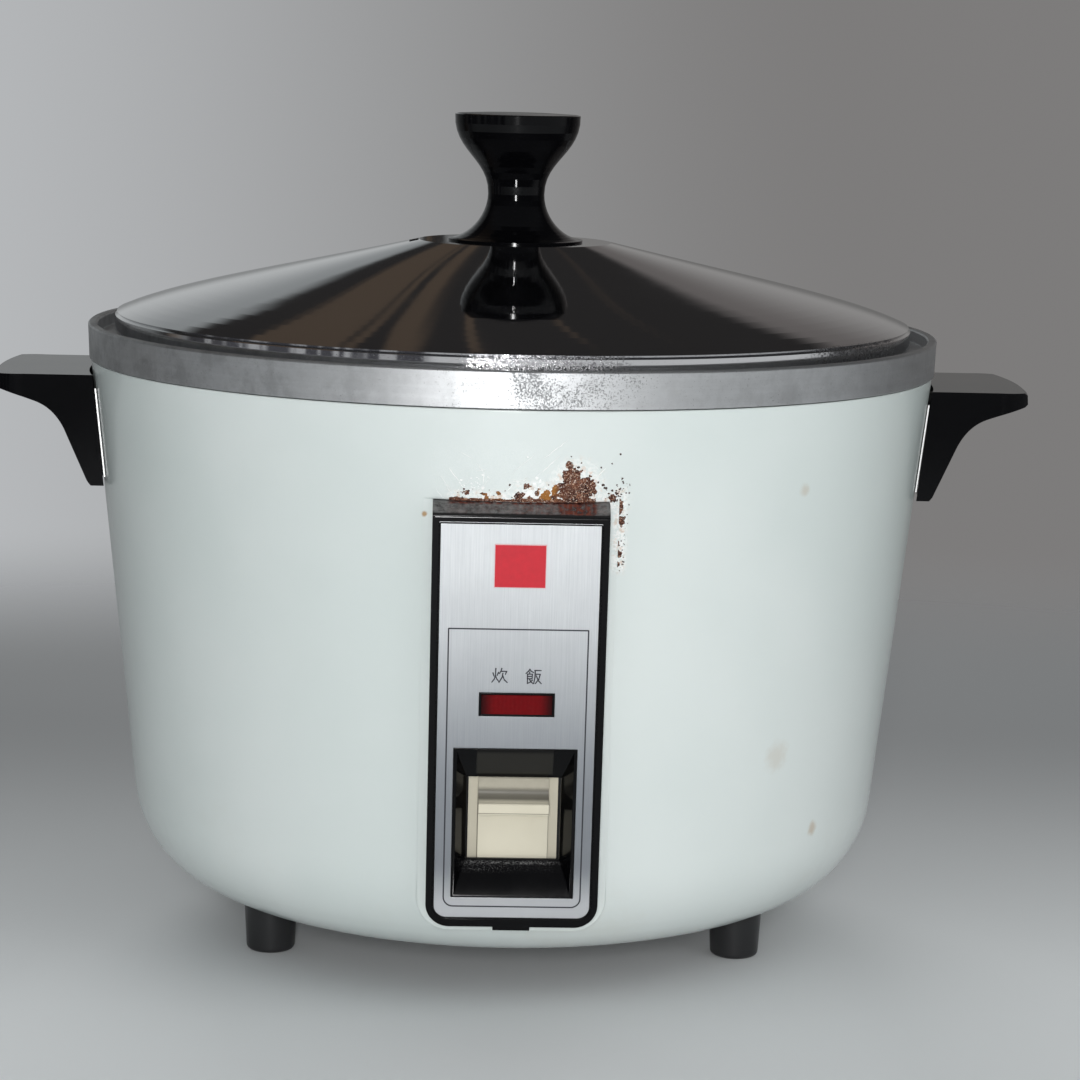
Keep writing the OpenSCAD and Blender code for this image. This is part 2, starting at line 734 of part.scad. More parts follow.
module bezel_block() {
    difference() {
        panel_slab(bezel_w, 0, bezel_l, bezel_round, -seat_sink, bezel_proud);
        translate([-bezel_w, bezel_l, 0])
            rotate([atan(bezel_slope / bezel_proud), 0, 0]) cube([2 * bezel_w, 20, 20]);
    }
}

module switch_bezel() color(black) on_panel() difference() {
    union() {
        difference() {
            bezel_block();
            panel_slab(bezel_w - 2 * bezel_t, bezel_t, bezel_l - bezel_slope - bezel_t, bezel_round - bezel_t,
                -seat_sink - 1, face_floor - bezel_front_t);
        }
        intersection() {
            well_form(bezel_t, bezel_proud, well_floor - bezel_t + 0.1);
            translate([-bezel_w / 2, 0, -20]) cube([bezel_w, bezel_l, 20 + bezel_proud]);
        }
        for (x = [-1, 1], v = stud_v) translate([x * stud_x, v, 0]) {
            rod_z(boss_r, -seat_sink, face_floor - bezel_front_t + eps);
            rod_z(stud_r, -seat_sink - sheet - ear_t - nut_t - 1, -seat_sink + 1);
        }
        translate([-tab_w / 2, -1.4, -seat_sink]) cube([tab_w, 2.4, seat_sink + 3.2]);
    }
    difference() {
        panel_slab(face_w + 0.1, face_margin, bezel_l - bezel_slope - face_margin + 0.6, face_round,
            face_floor, bezel_proud + 1);
        translate([-well_w / 2, well_v, 0]) cube([well_w, well_l, bezel_proud - 0.1]);
        translate([-lamp_w / 2, lamp_v - lamp_h / 2, 0]) cube([lamp_w, lamp_h, bezel_proud - 0.1]);
    }
    well_form(0, bezel_proud + 1, well_floor);
    translate([-window_w / 2, window_v, well_floor - 10]) cube([window_w, window_l, 10 + eps]);
    translate([-lens_w / 2 - 0.1, lamp_v - lens_h / 2 - 0.1, -10]) cube([lens_w + 0.2, lens_h + 0.2, 20]);
}

tab_w = 11;
lens_w = lamp_w - 1.4;
lens_h = lamp_h - 1.4;

module face_plate() color(alloy) on_panel() difference() {
    panel_slab(face_w, face_margin + 0.05, bezel_l - bezel_slope - face_margin + 0.55, face_round,
        face_floor, face_floor + face_t);
    translate([-well_w / 2 - 0.05, well_v - 0.05, 0]) cube([well_w + 0.1, well_l + 0.1, 10]);
    translate([-lamp_w / 2 - 0.05, lamp_v - lamp_h / 2 - 0.05, 0]) cube([lamp_w + 0.1, lamp_h + 0.1, 10]);
}

module emblem_plate() color([0.82, 0.1, 0.2]) on_panel()
    translate([-emblem_w / 2, emblem_v, face_floor + face_t]) cube([emblem_w, emblem_h, 0.3]);

module lamp_lens() color([0.45, 0.03, 0.04]) on_panel() {
    translate([-lens_w / 2, lamp_v - lens_h / 2, -1]) cube([lens_w, lens_h, bezel_proud + 0.8]);
    translate([-lens_w / 2 - 1, lamp_v - lens_h / 2 - 1, -1])
        cube([lens_w + 2, lens_h + 2, face_floor - bezel_front_t + 1]);
}

module lamp_holder() color([0.9, 0.9, 0.88]) on_panel() difference() {
    translate([-lamp_w / 2 - 1, lamp_v - 5, -9]) cube([lamp_w + 2, 10, face_floor - bezel_front_t + 9]);
    translate([-lens_w / 2 - 1, lamp_v - lens_h / 2 - 1, -7.6]) cube([lens_w + 2, lens_h + 2, 20]);
}

module neon_lamp() color([0.95, 0.6, 0.4]) on_panel() translate([0, lamp_v, -4.5]) rotate([0, 90, 0]) {
    rod_z(2.9, -7, 7);
    rod_z(0.5, -lens_w / 2 - 1, lens_w / 2 + 1);
}

module bezel_nuts() color(bright) on_panel() for (x = [-1, 1], v = stud_v) {
    gap = v == stud_v[2] ? 0 : ear_t;
    translate([x * stud_x, v, -seat_sink - sheet - gap - nut_t]) difference() {
        cylinder(r = nut_r, h = nut_t, $fn = 6);
        translate([0, 0, -1]) cylinder(r = stud_r, h = nut_t + 2);
    }
}

module switch_guide() color([0.15, 0.15, 0.15]) on_panel() difference() {
    union() {
        translate([-guide_w / 2, guide_v[0], guide_back])
            cube([guide_w, guide_v[1] - guide_v[0], guide_front - guide_back]);
        for (x = [-1, 1], v = [stud_v[0], stud_v[1]]) translate([0, v, guide_front - ear_t]) {
            translate([x * stud_x, 0, 0]) cylinder(r = boss_r, h = ear_t);
            translate([x > 0 ? guide_w / 2 - 3 : -stud_x, -boss_r, 0])
                cube([stud_x - guide_w / 2 + 3, 2 * boss_r, ear_t]);
        }
    }
    translate([-flange_w / 2 - free, guide_v[0] - 1, flange_back - free])
        cube([flange_w + 2 * free, flange_v[1] + 0.5 - guide_v[0] + 1, flange_t + 2 * free]);
    translate([-9, guide_v[0] - 1, guide_back - 1]) cube([18, guide_v[1] - guide_v[0] + 2, 6]);
    translate([-button_w / 2 - 0.6, button_low - button_travel - 0.4, button_back])
        cube([button_w + 1.2, 50, 20]);
    translate([-flange_w / 2 - 0.7, window_v - 2, button_back]) cube([flange_w + 1.4, window_l + 4, 20]);
    for (x = [-1, 1], v = [stud_v[0], stud_v[1]]) translate([x * stud_x, v, guide_front - ear_t - 1])
        cylinder(r = stud_r + close, h = ear_t + 2);
    box([-9, 9], [guide_v[0] - 1, guide_v[0] + 6], [guide_back - 1, flange_back]);
}

module switch_button() color(cream) on_panel() {
    ledge_w = button_face + ledge_reach;
    scoop = bezier_points([ledge_top + 0.45 * scoop_h, button_face],
        [ledge_top + 0.12 * scoop_h, button_face + 0.1], [ledge_top, button_face + 0.4 * ledge_reach],
        [ledge_top, ledge_w - 0.3], 8);
    translate([-button_w / 2, 0, 0]) rotate([90, 0, 90]) linear_extrude(button_w) polygon(concat(
        [[button_low, button_back], [button_top, button_back], [button_top, button_face - 0.4],
            [button_top - 0.4, button_face]],
        scoop,
        [[ledge_top - 0.3, ledge_w], [ledge_top - ledge_t, ledge_w],
            [ledge_top - ledge_t - 0.4, button_face + 0.3], [button_low, button_face]]
    ));
    translate([-flange_w / 2, flange_v[0], flange_back])
        cube([flange_w, flange_v[1] - flange_v[0], flange_t]);
    difference() {
        translate([-tail_w / 2, tail_low, tail_back])
            cube([tail_w, flange_v[0] + 4 - tail_low, flange_back - tail_back + eps]);
        translate([-tongue_w / 2 - 0.5, slot_v[0], tail_back - 1])
            cube([tongue_w + 1, slot_v[1] - slot_v[0], 20]);
    }
}

// ---------- heater ----------

module heater_plate() color(alloy) difference() {
    rotate_extrude() polygon([
        [cup_hole_r, heater_z + 1], [cup_hole_r, pot_z], [heater_r - 1, pot_z], [heater_r, pot_z - 1],
        [heater_r - 2, heater_z + 3], [heater_r - 4, heater_z], [post_ring_r + post_r + 6, heater_z],
        [post_ring_r + post_r + 4, heater_z + 1]
    ]);
    element_ring();
    for (a = post_angles) rotate(a) translate([post_ring_r, 0, 0])
        rod_z(post_screw_r, heater_z - 1, heater_z + 5);
}

module element_ring() {
    rotate_extrude() translate([element_ring_r, element_z]) circle(r = element_r);
}

module heating_element() color([0.35, 0.33, 0.32]) {
    element_ring();
    for (a = terminal_angles) rotate(a) translate([element_ring_r, 0, 0])
        rod_z(terminal_r, terminal_end_z, element_z);
}

module heater_terminals() color(ceramic) for (a = terminal_angles)
    rotate(a) translate([element_ring_r, 0, 0]) {
        tube_z(bush_r, terminal_r, liner_z, element_z - element_r - 0.1);
        tube_z(bush_flange_r, terminal_r, liner_z - bush_flange_t, liner_z);
    }

module heater_posts() color(steel) for (a = post_angles) rotate(a) translate([post_ring_r, 0, 0])
    tube_z(post_r, post_screw_r, liner_floor_z, heater_z + 1);

module post_screws() color(bright) for (a = post_angles) rotate(a) translate([post_ring_r, 0, 0]) {
    rod_z(post_head_r, liner_z - post_head_h, liner_z);
    rod_z(post_screw_r, liner_z - eps, heater_z + 5);
}

// ---------- thermostat ----------

module thermostat_frame() color(steel) rotate_extrude() polygon([
    [rod_r + 0.4, frame_z], [frame_r, frame_z], [frame_r, liner_z - frame_t],
    [frame_flange_r, liner_z - frame_t], [frame_flange_r, liner_z], [frame_r - frame_t, liner_z],
    [frame_r - frame_t, frame_z + frame_t], [rod_r + 0.4, frame_z + frame_t]
]);

module sensor_cup() color(bright) rotate_extrude() polygon([
    [0, pot_z - cup_t], [0, pot_z], [cup_r - 1, pot_z], [cup_r, pot_z - 1], [cup_r, cup_z],
    [cup_r - cup_t, cup_z], [cup_r - cup_t, pot_z - cup_t]
]);

module ferrite_disc() color([0.25, 0.25, 0.26]) rod_z(cup_r - cup_t - 0.6, ferrite_z, pot_z - cup_t);

module sensor_spring() color(bright)
    coil_spring(cup_r - cup_t - 0.4 - spring_wire_r, spring_wire_r, frame_z + frame_t, ferrite_z, 3.5);

module magnet_disc() color([0.2, 0.2, 0.22]) rod_z(magnet_r, magnet_z, magnet_z + magnet_t);

module magnet_rod() color(brass) {
    rod_z(magnet_r, magnet_z - holder_t, magnet_z);
    rod_z(rod_r, rod_end_z, magnet_z - holder_t + eps);
    rod_z(rod_collar_r, rod_collar_z, rod_collar_z + collar_t);
}

// ---------- lever and contacts ----------

module lever_bracket() color(steel) difference() {
    union() {
        box([-14, 14], bracket_y, [liner_z - 1.2, liner_z]);
        for (side = [-1, 1]) translate([side > 0 ? 8 : -9.2, 0, 0])
            box([0, 1.2], bracket_y, [pivot_z - 5, liner_z - 1]);
    }
    translate([-20, -pivot_y, pivot_z]) rotate([0, 90, 0]) cylinder(r = pin_r, h = 40);
    rotate(270) translate([post_ring_r, 0, 0]) rod_z(post_head_r + 0.6, liner_z - 3, liner_z + 1);
}

module pivot_pin() color(bright) translate([0, -pivot_y, pivot_z]) rotate([0, 90, 0]) {
    rod_z(pin_r, -10.5, 9.2);
    rod_z(pin_r + 1, -10.5, -9.2);
}

module switch_lever() color(brass) difference() {
    union() {
        box([-lever_w / 2, lever_w / 2], [tongue_tip_y + 6, -10], [strip_z, strip_top_z]);
        box([-tongue_w / 2, tongue_w / 2], [tongue_tip_y, tongue_tip_y + 7], [strip_z, strip_top_z]);
        box([-fork_w / 2, fork_w / 2], [-14, fork_end_y], [strip_z, strip_top_z]);
        box([0, tab_x], tab_y, [strip_z, strip_top_z]);
        translate([-lever_w / 2, -pivot_y, pivot_z]) rotate([0, 90, 0]) cylinder(r = hub_r, h = lever_w);
    }
    translate([-20, -pivot_y, pivot_z]) rotate([0, 90, 0]) cylinder(r = pin_r + close, h = 40);
    box([-fork_slot_w / 2, fork_slot_w / 2], [-rod_r - 2, 10], [strip_z - 1, strip_top_z + 1]);
}

module return_spring() color(bright) translate([0, -spring_y, 0])
    coil_spring(4.8, 0.6, plate_z + plate_t, strip_z, 6);

module contact_block() color([0.35, 0.12, 0.08]) difference() {
    box(block_x, block_y, [fixed_rivet_z - 4, strip_top_z + 1]);
    box(blade_x, [block_y[0] - 1, block_y[0] + 6], [fixed_rivet_z - 1.8, fixed_rivet_z - 1]);
}

module fixed_contact() color(brass) {
    box(blade_x, [blade_tip_y - 1, block_y[0] + 6], [fixed_rivet_z - 1.8, fixed_rivet_z - 1]);
    translate([(blade_x[0] + blade_x[1]) / 2, rivet_y, fixed_rivet_z - 1 - eps])
        cylinder(r = rivet_r, h = 1 + eps);
}

module moving_contact() color(brass) {
    box(blade_x, [blade_tip_y, block_y[0] - 0.2], [blade_z, blade_z + blade_t]);
    translate([(blade_x[0] + blade_x[1]) / 2, rivet_y, blade_z - 1]) cylinder(r = rivet_r, h = 1 + eps);
}

// ---------- power inlet and wiring ----------

module inlet_housing() color(black) difference() {
    union() {
        inlet_block();
        for (side = [-1, 1])
            translate([side * (inlet_ear_x - 2), rear_seat_y - sheet - 2.5, inlet_ear_z])
                translate([-inlet_ear_w / 2 - 2, 0, 0]) cube([inlet_ear_w + 4, 2.5, inlet_ear_h]);
    }
    box([-inlet_w / 2 + inlet_wall, inlet_w / 2 - inlet_wall], [inlet_floor_y, 150],
        [inlet_z - inlet_h / 2 + 2.2, inlet_z + inlet_h / 2 - 2.2]);
    for (side = [-1, 1]) {
        translate([side * inlet_pin_gap / 2, inlet_front_y - 1, inlet_z]) rotate([-90, 0, 0])
            cylinder(r = inlet_stub_r, h = 10);
        translate([side * inlet_ear_x, rear_seat_y - 10, inlet_ear_z + inlet_ear_h / 2])
            rotate([-90, 0, 0]) cylinder(r = 1.5, h = 20);
    }
}

module inlet_block() {
    box([-inlet_w / 2, inlet_w / 2], [inlet_front_y, inlet_reach],
        [inlet_z - inlet_h / 2, inlet_z + inlet_h / 2]);
}

module inlet_pins() color(bright) for (side = [-1, 1])
    translate([side * inlet_pin_gap / 2, inlet_front_y - 4, inlet_z]) rotate([-90, 0, 0])
        rotate_extrude() polygon([
            [0, 0], [inlet_stub_r, 0], [inlet_stub_r, inlet_floor_y - pin_tail_y],
            [inlet_pin_r, inlet_floor_y - pin_tail_y], [inlet_pin_r, inlet_reach - pin_tail_y - 6],
            [inlet_pin_r - 1, inlet_reach - pin_tail_y - 4.5], [0, inlet_reach - pin_tail_y - 4]
        ]);

module inlet_screws() color(bright) for (side = [-1, 1])
    translate([side * inlet_ear_x, rear_seat_y, inlet_ear_z + inlet_ear_h / 2]) rotate([-90, 0, 0]) {
        rod_z(3, 0, 1.8);
        rod_z(1.5, -6, eps);
    }

fuse_x = -34;
fuse_y = [pin_tail_y - 44, pin_tail_y - 30];
fuse_r = 2.2;
fuse_z = liner_z - fuse_r - 0.2;

module thermal_fuse() color(ceramic) translate([fuse_x, fuse_y[0], fuse_z]) rotate([-90, 0, 0])
    cylinder(r = fuse_r, h = fuse_y[1] - fuse_y[0]);

function terminal_point(i) = [
    element_ring_r * cos(terminal_angles[i]), element_ring_r * sin(terminal_angles[i]) - terminal_r,
    terminal_end_z + 1.5
];
lamp_end = lamp_w / 2 + 1;
wire_x = stud_x + stud_r;
wire_back = guide_back + 1;
wire_front_y = 17 - panel_r;
joint_gap = 0.3;
// Points of the wiring, at a distance behind the inlet's end or from the axis, and at a drop below the liner
function by_inlet(x, from_inlet, drop) = [x, pin_tail_y - from_inlet, liner_z - drop];
function by_lever(x, y, drop) = [x, y, liner_z - drop];
function by_lamp(side) = [
    on_panel_point([side * (lamp_end + joint_gap), lamp_v, -6]),
    on_panel_point([side * (lamp_end + 4), lamp_v, -8]),
    on_panel_point([side * wire_x, stud_v[1], wire_back]),
    on_panel_point([side * (wire_x + 2), stud_v[1] - 20, wire_back]),
    on_panel_point([side * (wire_x + 4), stud_v[1] - 38, wire_back]),
    [side * (wire_x + 5), wire_front_y, liner_z - 13]
];

module wiring() color([0.75, 0.72, 0.65]) {
    live_pin = [-inlet_pin_gap / 2, pin_tail_y - joint_gap, inlet_z];
    neutral_pin = [inlet_pin_gap / 2, pin_tail_y - joint_gap, inlet_z];
    block_y_mid = (block_y[0] + block_y[1]) / 2;
    block_side_x = block_x[1] + joint_gap;
    lead([live_pin, live_pin - [0, 5, 0], by_inlet(-20, 10, 9), by_inlet(-32, 20, 5),
        [fuse_x, fuse_y[1] + 3, fuse_z], [fuse_x, fuse_y[1] + joint_gap, fuse_z]]);
    lead([[fuse_x, fuse_y[0] - joint_gap, fuse_z], [fuse_x, fuse_y[0] - 4, fuse_z], by_inlet(-26, 52, 6),
        by_inlet(-14, 38, 9), terminal_point(1)]);
    lead([neutral_pin, neutral_pin - [0, 5, 0], by_inlet(22, 14, 11), by_inlet(38, 34, 13),
        by_lever(42, 10, 16), by_lever(34, -26, 17), by_lever(26, block_y_mid + 2, 17),
        [block_side_x, block_y_mid + 2, liner_z - 17]]);
    lead([by_lever(14, block_y[1] + joint_gap, 18), by_lever(14.5, block_y[1] + 5, 18), by_lever(26, -12, 16),
        by_lever(28, 14, 13), by_inlet(22, 44, 10), by_inlet(12, 32, 9), terminal_point(0)]);
    lead(concat(by_lamp(-1), [by_lever(-24, -2 * pivot_y, 21), by_lever(-22, -20, 20), by_lever(-22, 30, 17),
        by_inlet(-18, 28, 14), terminal_point(1) + [-terminal_r, 2 * terminal_r, -0.2]]), 1.1);
    lead(concat(by_lamp(1), [by_lever(27, -2 * pivot_y, 16), by_lever(25, block_y_mid - 3, 13),
        [block_side_x, block_y_mid - 3, liner_z - 13]]), 1.1);
}

// ---------- pot and lid ----------

// Solid of the whole pot, with the skirt of its collar hanging clear of the wall
module pot_solid() rotate_extrude() {
    cup_section(pot_top_r, pot_foot_r, pot_z, seat_z - pot_t / 2, pot_corner_r, 0);
    polygon([
        [0, seat_z - pot_t], [skirt_in_r, seat_z - pot_t], [skirt_in_r, skirt_z],
        [collar_r - collar_taper, skirt_z], [collar_r, rim_z - edge_break], [collar_r - edge_break, rim_z],
        [0, rim_z]
    ]);
}

module inner_pot() color(alloy) difference() {
    pot_solid();
    rotate_extrude() cup_section(pot_top_r, pot_foot_r, pot_z, seat_z - pot_t / 2, pot_corner_r, pot_t);
    rod_z(pot_throat_r, seat_z - pot_t / 2 - eps, seat_z + 1);
    rod_z(rim_in_r, seat_z, rim_z - edge_break);
    translate([0, 0, rim_z - edge_break])
        cylinder(r1 = rim_in_r, r2 = rim_in_r + 2 * edge_break, h = 2 * edge_break);
}

lid_dome = bezier_points([lid_flat_r, lid_top_z], [lid_r - 49.4, lid_top_z - 11.3],
    [lid_r - 17.4, lid_crease_z + 7.4], [lid_r - 0.6, lid_crease_z], 16);

module lid() color(bright) difference() {
    rotate_extrude() polygon(concat(
        [[knob_bore_r + 0.5, lid_top_z]],
        lid_dome,
        [[lid_r - 0.9, lid_crease_z - 0.5], [lid_r, lid_crease_z - 1.1], [lid_r, lid_seat_z + 0.5],
            [lid_r - 0.5, lid_seat_z], [lid_r - 4, lid_seat_z], [lid_r - 4, lid_seat_z + lid_t],
            [lid_r - 1.2, lid_seat_z + lid_t], [lid_r - 1.2, lid_crease_z - 1.6]],
        [for (i = [len(lid_dome) - 1:-1:1]) lid_dome[i] - [i == len(lid_dome) - 1 ? 2 : 0.3, 1.05 * lid_t]],
        [[lid_flat_r, lid_top_z - lid_t], [knob_bore_r + 0.5, lid_top_z - lid_t]]
    ));
    box([-lid_flat_r - 1.6 - steam_slot_w / 2, -lid_flat_r - 1.6 + steam_slot_w / 2],
        [-steam_slot_l / 2, steam_slot_l / 2], [lid_top_z - 6, lid_top_z + 6]);
}

module lid_knob() color(black) {
    top = lid_top_z + knob_h;
    neck_z = lid_top_z + knob_h * 0.373;
    foot_z = lid_top_z + knob_edge;
    cup = bezier_points([knob_top_r, top], [knob_top_r + 0.5, top - 0.3 * knob_h],
        [knob_neck_r - 0.1, top - 0.35 * knob_h], [knob_neck_r, neck_z], 12);
    flare = bezier_points([knob_neck_r, neck_z], [knob_neck_r, neck_z - 7.4],
        [0.7 * knob_foot_r, foot_z + 0.4], [knob_foot_r, foot_z], 12);
    rotate_extrude() polygon(concat(
        [[0, lid_top_z + knob_bore_h], [0, top + 0.8], [knob_top_r * 0.6, top + 0.6],
            [knob_top_r - 0.8, top + 0.25]],
        cup,
        [for (i = [1:len(flare) - 1]) flare[i]],
        [[knob_foot_r, lid_top_z], [knob_bore_r, lid_top_z], [knob_bore_r, lid_top_z + knob_bore_h]]
    ));
}

module knob_washer() color(bright) tube_z(9, knob_bore_r + 0.2, lid_top_z - lid_t - 1.2, lid_top_z - lid_t);

module knob_screw() color(bright) {
    rod_z(5, lid_top_z - lid_t - 4, lid_top_z - lid_t - 1.2);
    rod_z(knob_bore_r, lid_top_z - lid_t - 1.2 - eps, lid_top_z + knob_bore_h - 1);
}

outer_shell();
bottom_plate();
foot_front_left();
foot_front_right();
foot_rear();
foot_screws();
inner_liner();
handle_left();
handle_right();
handle_plates();
handle_screws();
switch_bezel();
face_plate();
emblem_plate();
lamp_lens();
lamp_holder();
neon_lamp();
switch_guide();
bezel_nuts();
switch_button();
heater_plate();
heating_element();
heater_terminals();
heater_posts();
post_screws();
thermostat_frame();
sensor_cup();
ferrite_disc();
sensor_spring();
magnet_disc();
magnet_rod();
lever_bracket();
pivot_pin();
switch_lever();
return_spring();
contact_block();
fixed_contact();
moving_contact();
inlet_housing();
inlet_pins();
inlet_screws();
thermal_fuse();
wiring();
inner_pot();
lid();
lid_knob();
knob_washer();
knob_screw();
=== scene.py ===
"""Looks of the rice cooker: camera, light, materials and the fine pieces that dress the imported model."""
import math
import random

import bmesh
import bpy
from mathutils import Matrix, Vector, noise


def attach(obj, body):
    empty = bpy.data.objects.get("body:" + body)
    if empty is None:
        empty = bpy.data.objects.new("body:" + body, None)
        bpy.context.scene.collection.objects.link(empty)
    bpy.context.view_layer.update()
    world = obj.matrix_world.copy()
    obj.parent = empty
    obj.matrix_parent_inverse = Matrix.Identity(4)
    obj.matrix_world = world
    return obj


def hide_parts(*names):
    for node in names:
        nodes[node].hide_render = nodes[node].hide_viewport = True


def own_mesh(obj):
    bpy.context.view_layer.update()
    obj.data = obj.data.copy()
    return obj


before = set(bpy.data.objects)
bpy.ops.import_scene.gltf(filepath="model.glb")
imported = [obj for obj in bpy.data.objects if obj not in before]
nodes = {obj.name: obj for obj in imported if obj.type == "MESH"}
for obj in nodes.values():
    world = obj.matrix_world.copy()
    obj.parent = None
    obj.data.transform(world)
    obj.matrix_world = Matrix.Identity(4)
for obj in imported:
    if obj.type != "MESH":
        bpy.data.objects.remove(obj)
bpy.context.view_layer.update()

# ---------- camera ----------

# Place in metres, angles in radians, and the focal length in pixels of an image that is IMAGE_PX wide
CAMERA_AT = Vector((-0.02661, -0.99965, 0.29194))
YAW, PITCH, ROLL, TURN = 0.0105, 0.1625, 0.0243, 0.0266
FOCAL_PX, IMAGE_PX, SENSOR_MM = 3053.2, 1080, 36.0


def new_object(name, data):
    """A new object in the scene."""
    obj = bpy.data.objects.new(name, data)
    bpy.context.scene.collection.objects.link(obj)
    return obj


def add_camera():
    """A camera that looks slightly down at the front of the object, with a little roll."""
    right = Vector((math.cos(YAW), -math.sin(YAW), 0))
    ahead = Vector((math.sin(YAW) * math.cos(PITCH), math.cos(YAW) * math.cos(PITCH), -math.sin(PITCH)))
    up = Vector((math.sin(YAW) * math.sin(PITCH), math.cos(YAW) * math.sin(PITCH), math.cos(PITCH)))
    image_right = math.cos(ROLL) * right + math.sin(ROLL) * up
    image_up = math.cos(ROLL) * up - math.sin(ROLL) * right
    turn = Matrix.Rotation(-TURN, 3, "Z")
    axes = Matrix((turn @ image_right, turn @ image_up, turn @ -ahead)).transposed()
    data = bpy.data.cameras.new("camera")
    data.sensor_fit = "HORIZONTAL"
    data.sensor_width = SENSOR_MM
    data.lens = FOCAL_PX / IMAGE_PX * SENSOR_MM
    data.clip_start, data.clip_end = 0.01, 50
    camera = new_object("camera", data)
    camera.matrix_world = Matrix.Translation(CAMERA_AT) @ axes.to_4x4()
    bpy.context.scene.camera = camera


add_camera()

# ---------- node trees ----------


class Tree:
    """A node tree with one short call for each kind of node. A value may be a number, a tuple or a socket."""

    def __init__(self, owner):
        owner.use_nodes = True
        self.tree = owner.node_tree
        self.tree.nodes.clear()

    def put(self, socket, value):
        if isinstance(value, bpy.types.NodeSocket):
            self.tree.links.new(value, socket)
        elif value is not None:
            if hasattr(socket.default_value, "__len__") and hasattr(value, "__len__"):
                size = len(socket.default_value)
                value = (tuple(value) + (1.0,))[:size]
            elif hasattr(socket.default_value, "__len__"):
                value = (value,) * len(socket.default_value)
            socket.default_value = value

    def add(self, kind, inputs=None, **settings):
        node = self.tree.nodes.new("ShaderNode" + kind)
        for name, value in settings.items():
            setattr(node, name, value)
        for name, value in (inputs or {}).items():
            self.put(node.inputs[name], value)
        return node

    def math(self, operation, a, b=None, c=None):
        node = self.add("Math", operation=operation)
        for socket, value in zip(node.inputs, (a, b, c)):
            self.put(socket, value)
        return node.outputs[0]

    def times(self, a, b):
        return self.math("MULTIPLY", a, b)

    def plus(self, a, b):
        return self.math("ADD", a, b)

    def minus(self, a, b):
        return self.math("SUBTRACT", a, b)

    def most(self, a, b):
        return self.math("MAXIMUM", a, b)

    def absolute(self, a):
        return self.math("ABSOLUTE", a)

    def vector(self, operation, a, b=None):
        node = self.add("VectorMath", operation=operation)
        self.put(node.inputs[0], a)
        self.put(node.inputs[1], b)
        return node.outputs["Value" if operation in ("LENGTH", "DISTANCE", "DOT_PRODUCT") else "Vector"]

    def mix(self, factor, a, b):
        node = self.add("Mix", data_type="RGBA", clamp_factor=True)
        self.put(node.inputs[0], factor)
        self.put(node.inputs[6], a)
        self.put(node.inputs[7], b)
        return node.outputs[2]

    def blend(self, factor, a, b):
        node = self.add("Mix", data_type="FLOAT", clamp_factor=True)
        self.put(node.inputs[0], factor)
        self.put(node.inputs[2], a)
        self.put(node.inputs[3], b)
        return node.outputs[0]

    def step(self, value, low, high, to_low=0.0, to_high=1.0):
        """A smooth step of value from to_low at low to to_high at high."""
        if low > high:
            low, high, to_low, to_high = high, low, to_high, to_low
        node = self.add("MapRange", interpolation_type="SMOOTHSTEP")
        names = ("Value", "From Min", "From Max", "To Min", "To Max")
        for name, number in zip(names, (value, low, high, to_low, to_high)):
            self.put(node.inputs[name], number)
        return node.outputs[0]

    def noise(self, at, scale, detail=3.0, rough=0.55, distort=0.0):
        node = self.add("TexNoise", {
            "Vector": at, "Scale": scale, "Detail": detail, "Roughness": rough, "Distortion": distort})
        return node.outputs[0]

    def cells(self, at, scale):
        return self.add("TexVoronoi", {"Vector": at, "Scale": scale}).outputs["Distance"]

    def xyz(self, x, y, z):
        node = self.add("CombineXYZ")
        for socket, value in zip(node.inputs, (x, y, z)):
            self.put(socket, value)
        return node.outputs[0]

    def place(self):
        """The point in the part's own frame, in metres."""
        return self.add("TexCoord").outputs["Object"]

    def upward(self, low, high):
        """How far the surface faces up in the part's own frame."""
        return self.step(self.parts(self.add("TexCoord").outputs["Normal"])[2], low, high)

    def rounded(self, radius):
        """A shading normal that rounds sharp edges."""
        return self.add("Bevel", {"Radius": radius}, samples=6).outputs[0]

    def window(self, value, low, high, soft):
        """1 between low and high, and 0 outside them, with edges 2 * soft wide."""
        rise = self.step(value, low - soft, low + soft)
        fall = self.step(value, high + soft, high - soft)
        return self.times(rise, fall)

    def parts(self, vector):
        return self.add("SeparateXYZ", {0: vector}).outputs

    def stretched(self, scale):
        return self.vector("MULTIPLY", self.place(), scale)

    def round_axis(self, along, across, height):
        """Angle, radius and height round the part's upright axis, each with its own scale."""
        x, y, z = self.parts(self.place())
        angle = self.math("ARCTAN2", y, x)
        radius = self.math("SQRT", self.plus(self.times(x, x), self.times(y, y)))
        return self.xyz(self.times(angle, along), self.times(radius, across), self.times(z, height))

    def bump(self, height, distance, strength=1.0, under=None):
        node = self.add("Bump", {"Height": height, "Distance": distance, "Strength": strength})
        if under is not None:
            self.put(node.inputs["Normal"], under)
        return node.outputs[0]


class Finish(Tree):
    """A material with one Principled shader."""

    def __init__(self, name, **sockets):
        self.material = bpy.data.materials.new(name)
        super().__init__(self.material)
        self.shader = self.add("BsdfPrincipled")
        self.add("OutputMaterial", {"Surface": self.shader.outputs[0]})
        self.set(**sockets)

    def set(self, **sockets):
        for name, value in sockets.items():
            self.put(self.shader.inputs[name.replace("_", " ")], value)


def srgb(*c):
    """Linear colour of three sRGB values from 0 to 255."""
    return tuple(((v / 255 + 0.055) / 1.055) ** 2.4 if v > 10.3 else v / 255 / 12.92 for v in c)


def scaled(colour, factor):
    return tuple(v * factor for v in colour)


# ---------- finishes ----------

BLACK = (0.0018, 0.0018, 0.0023)


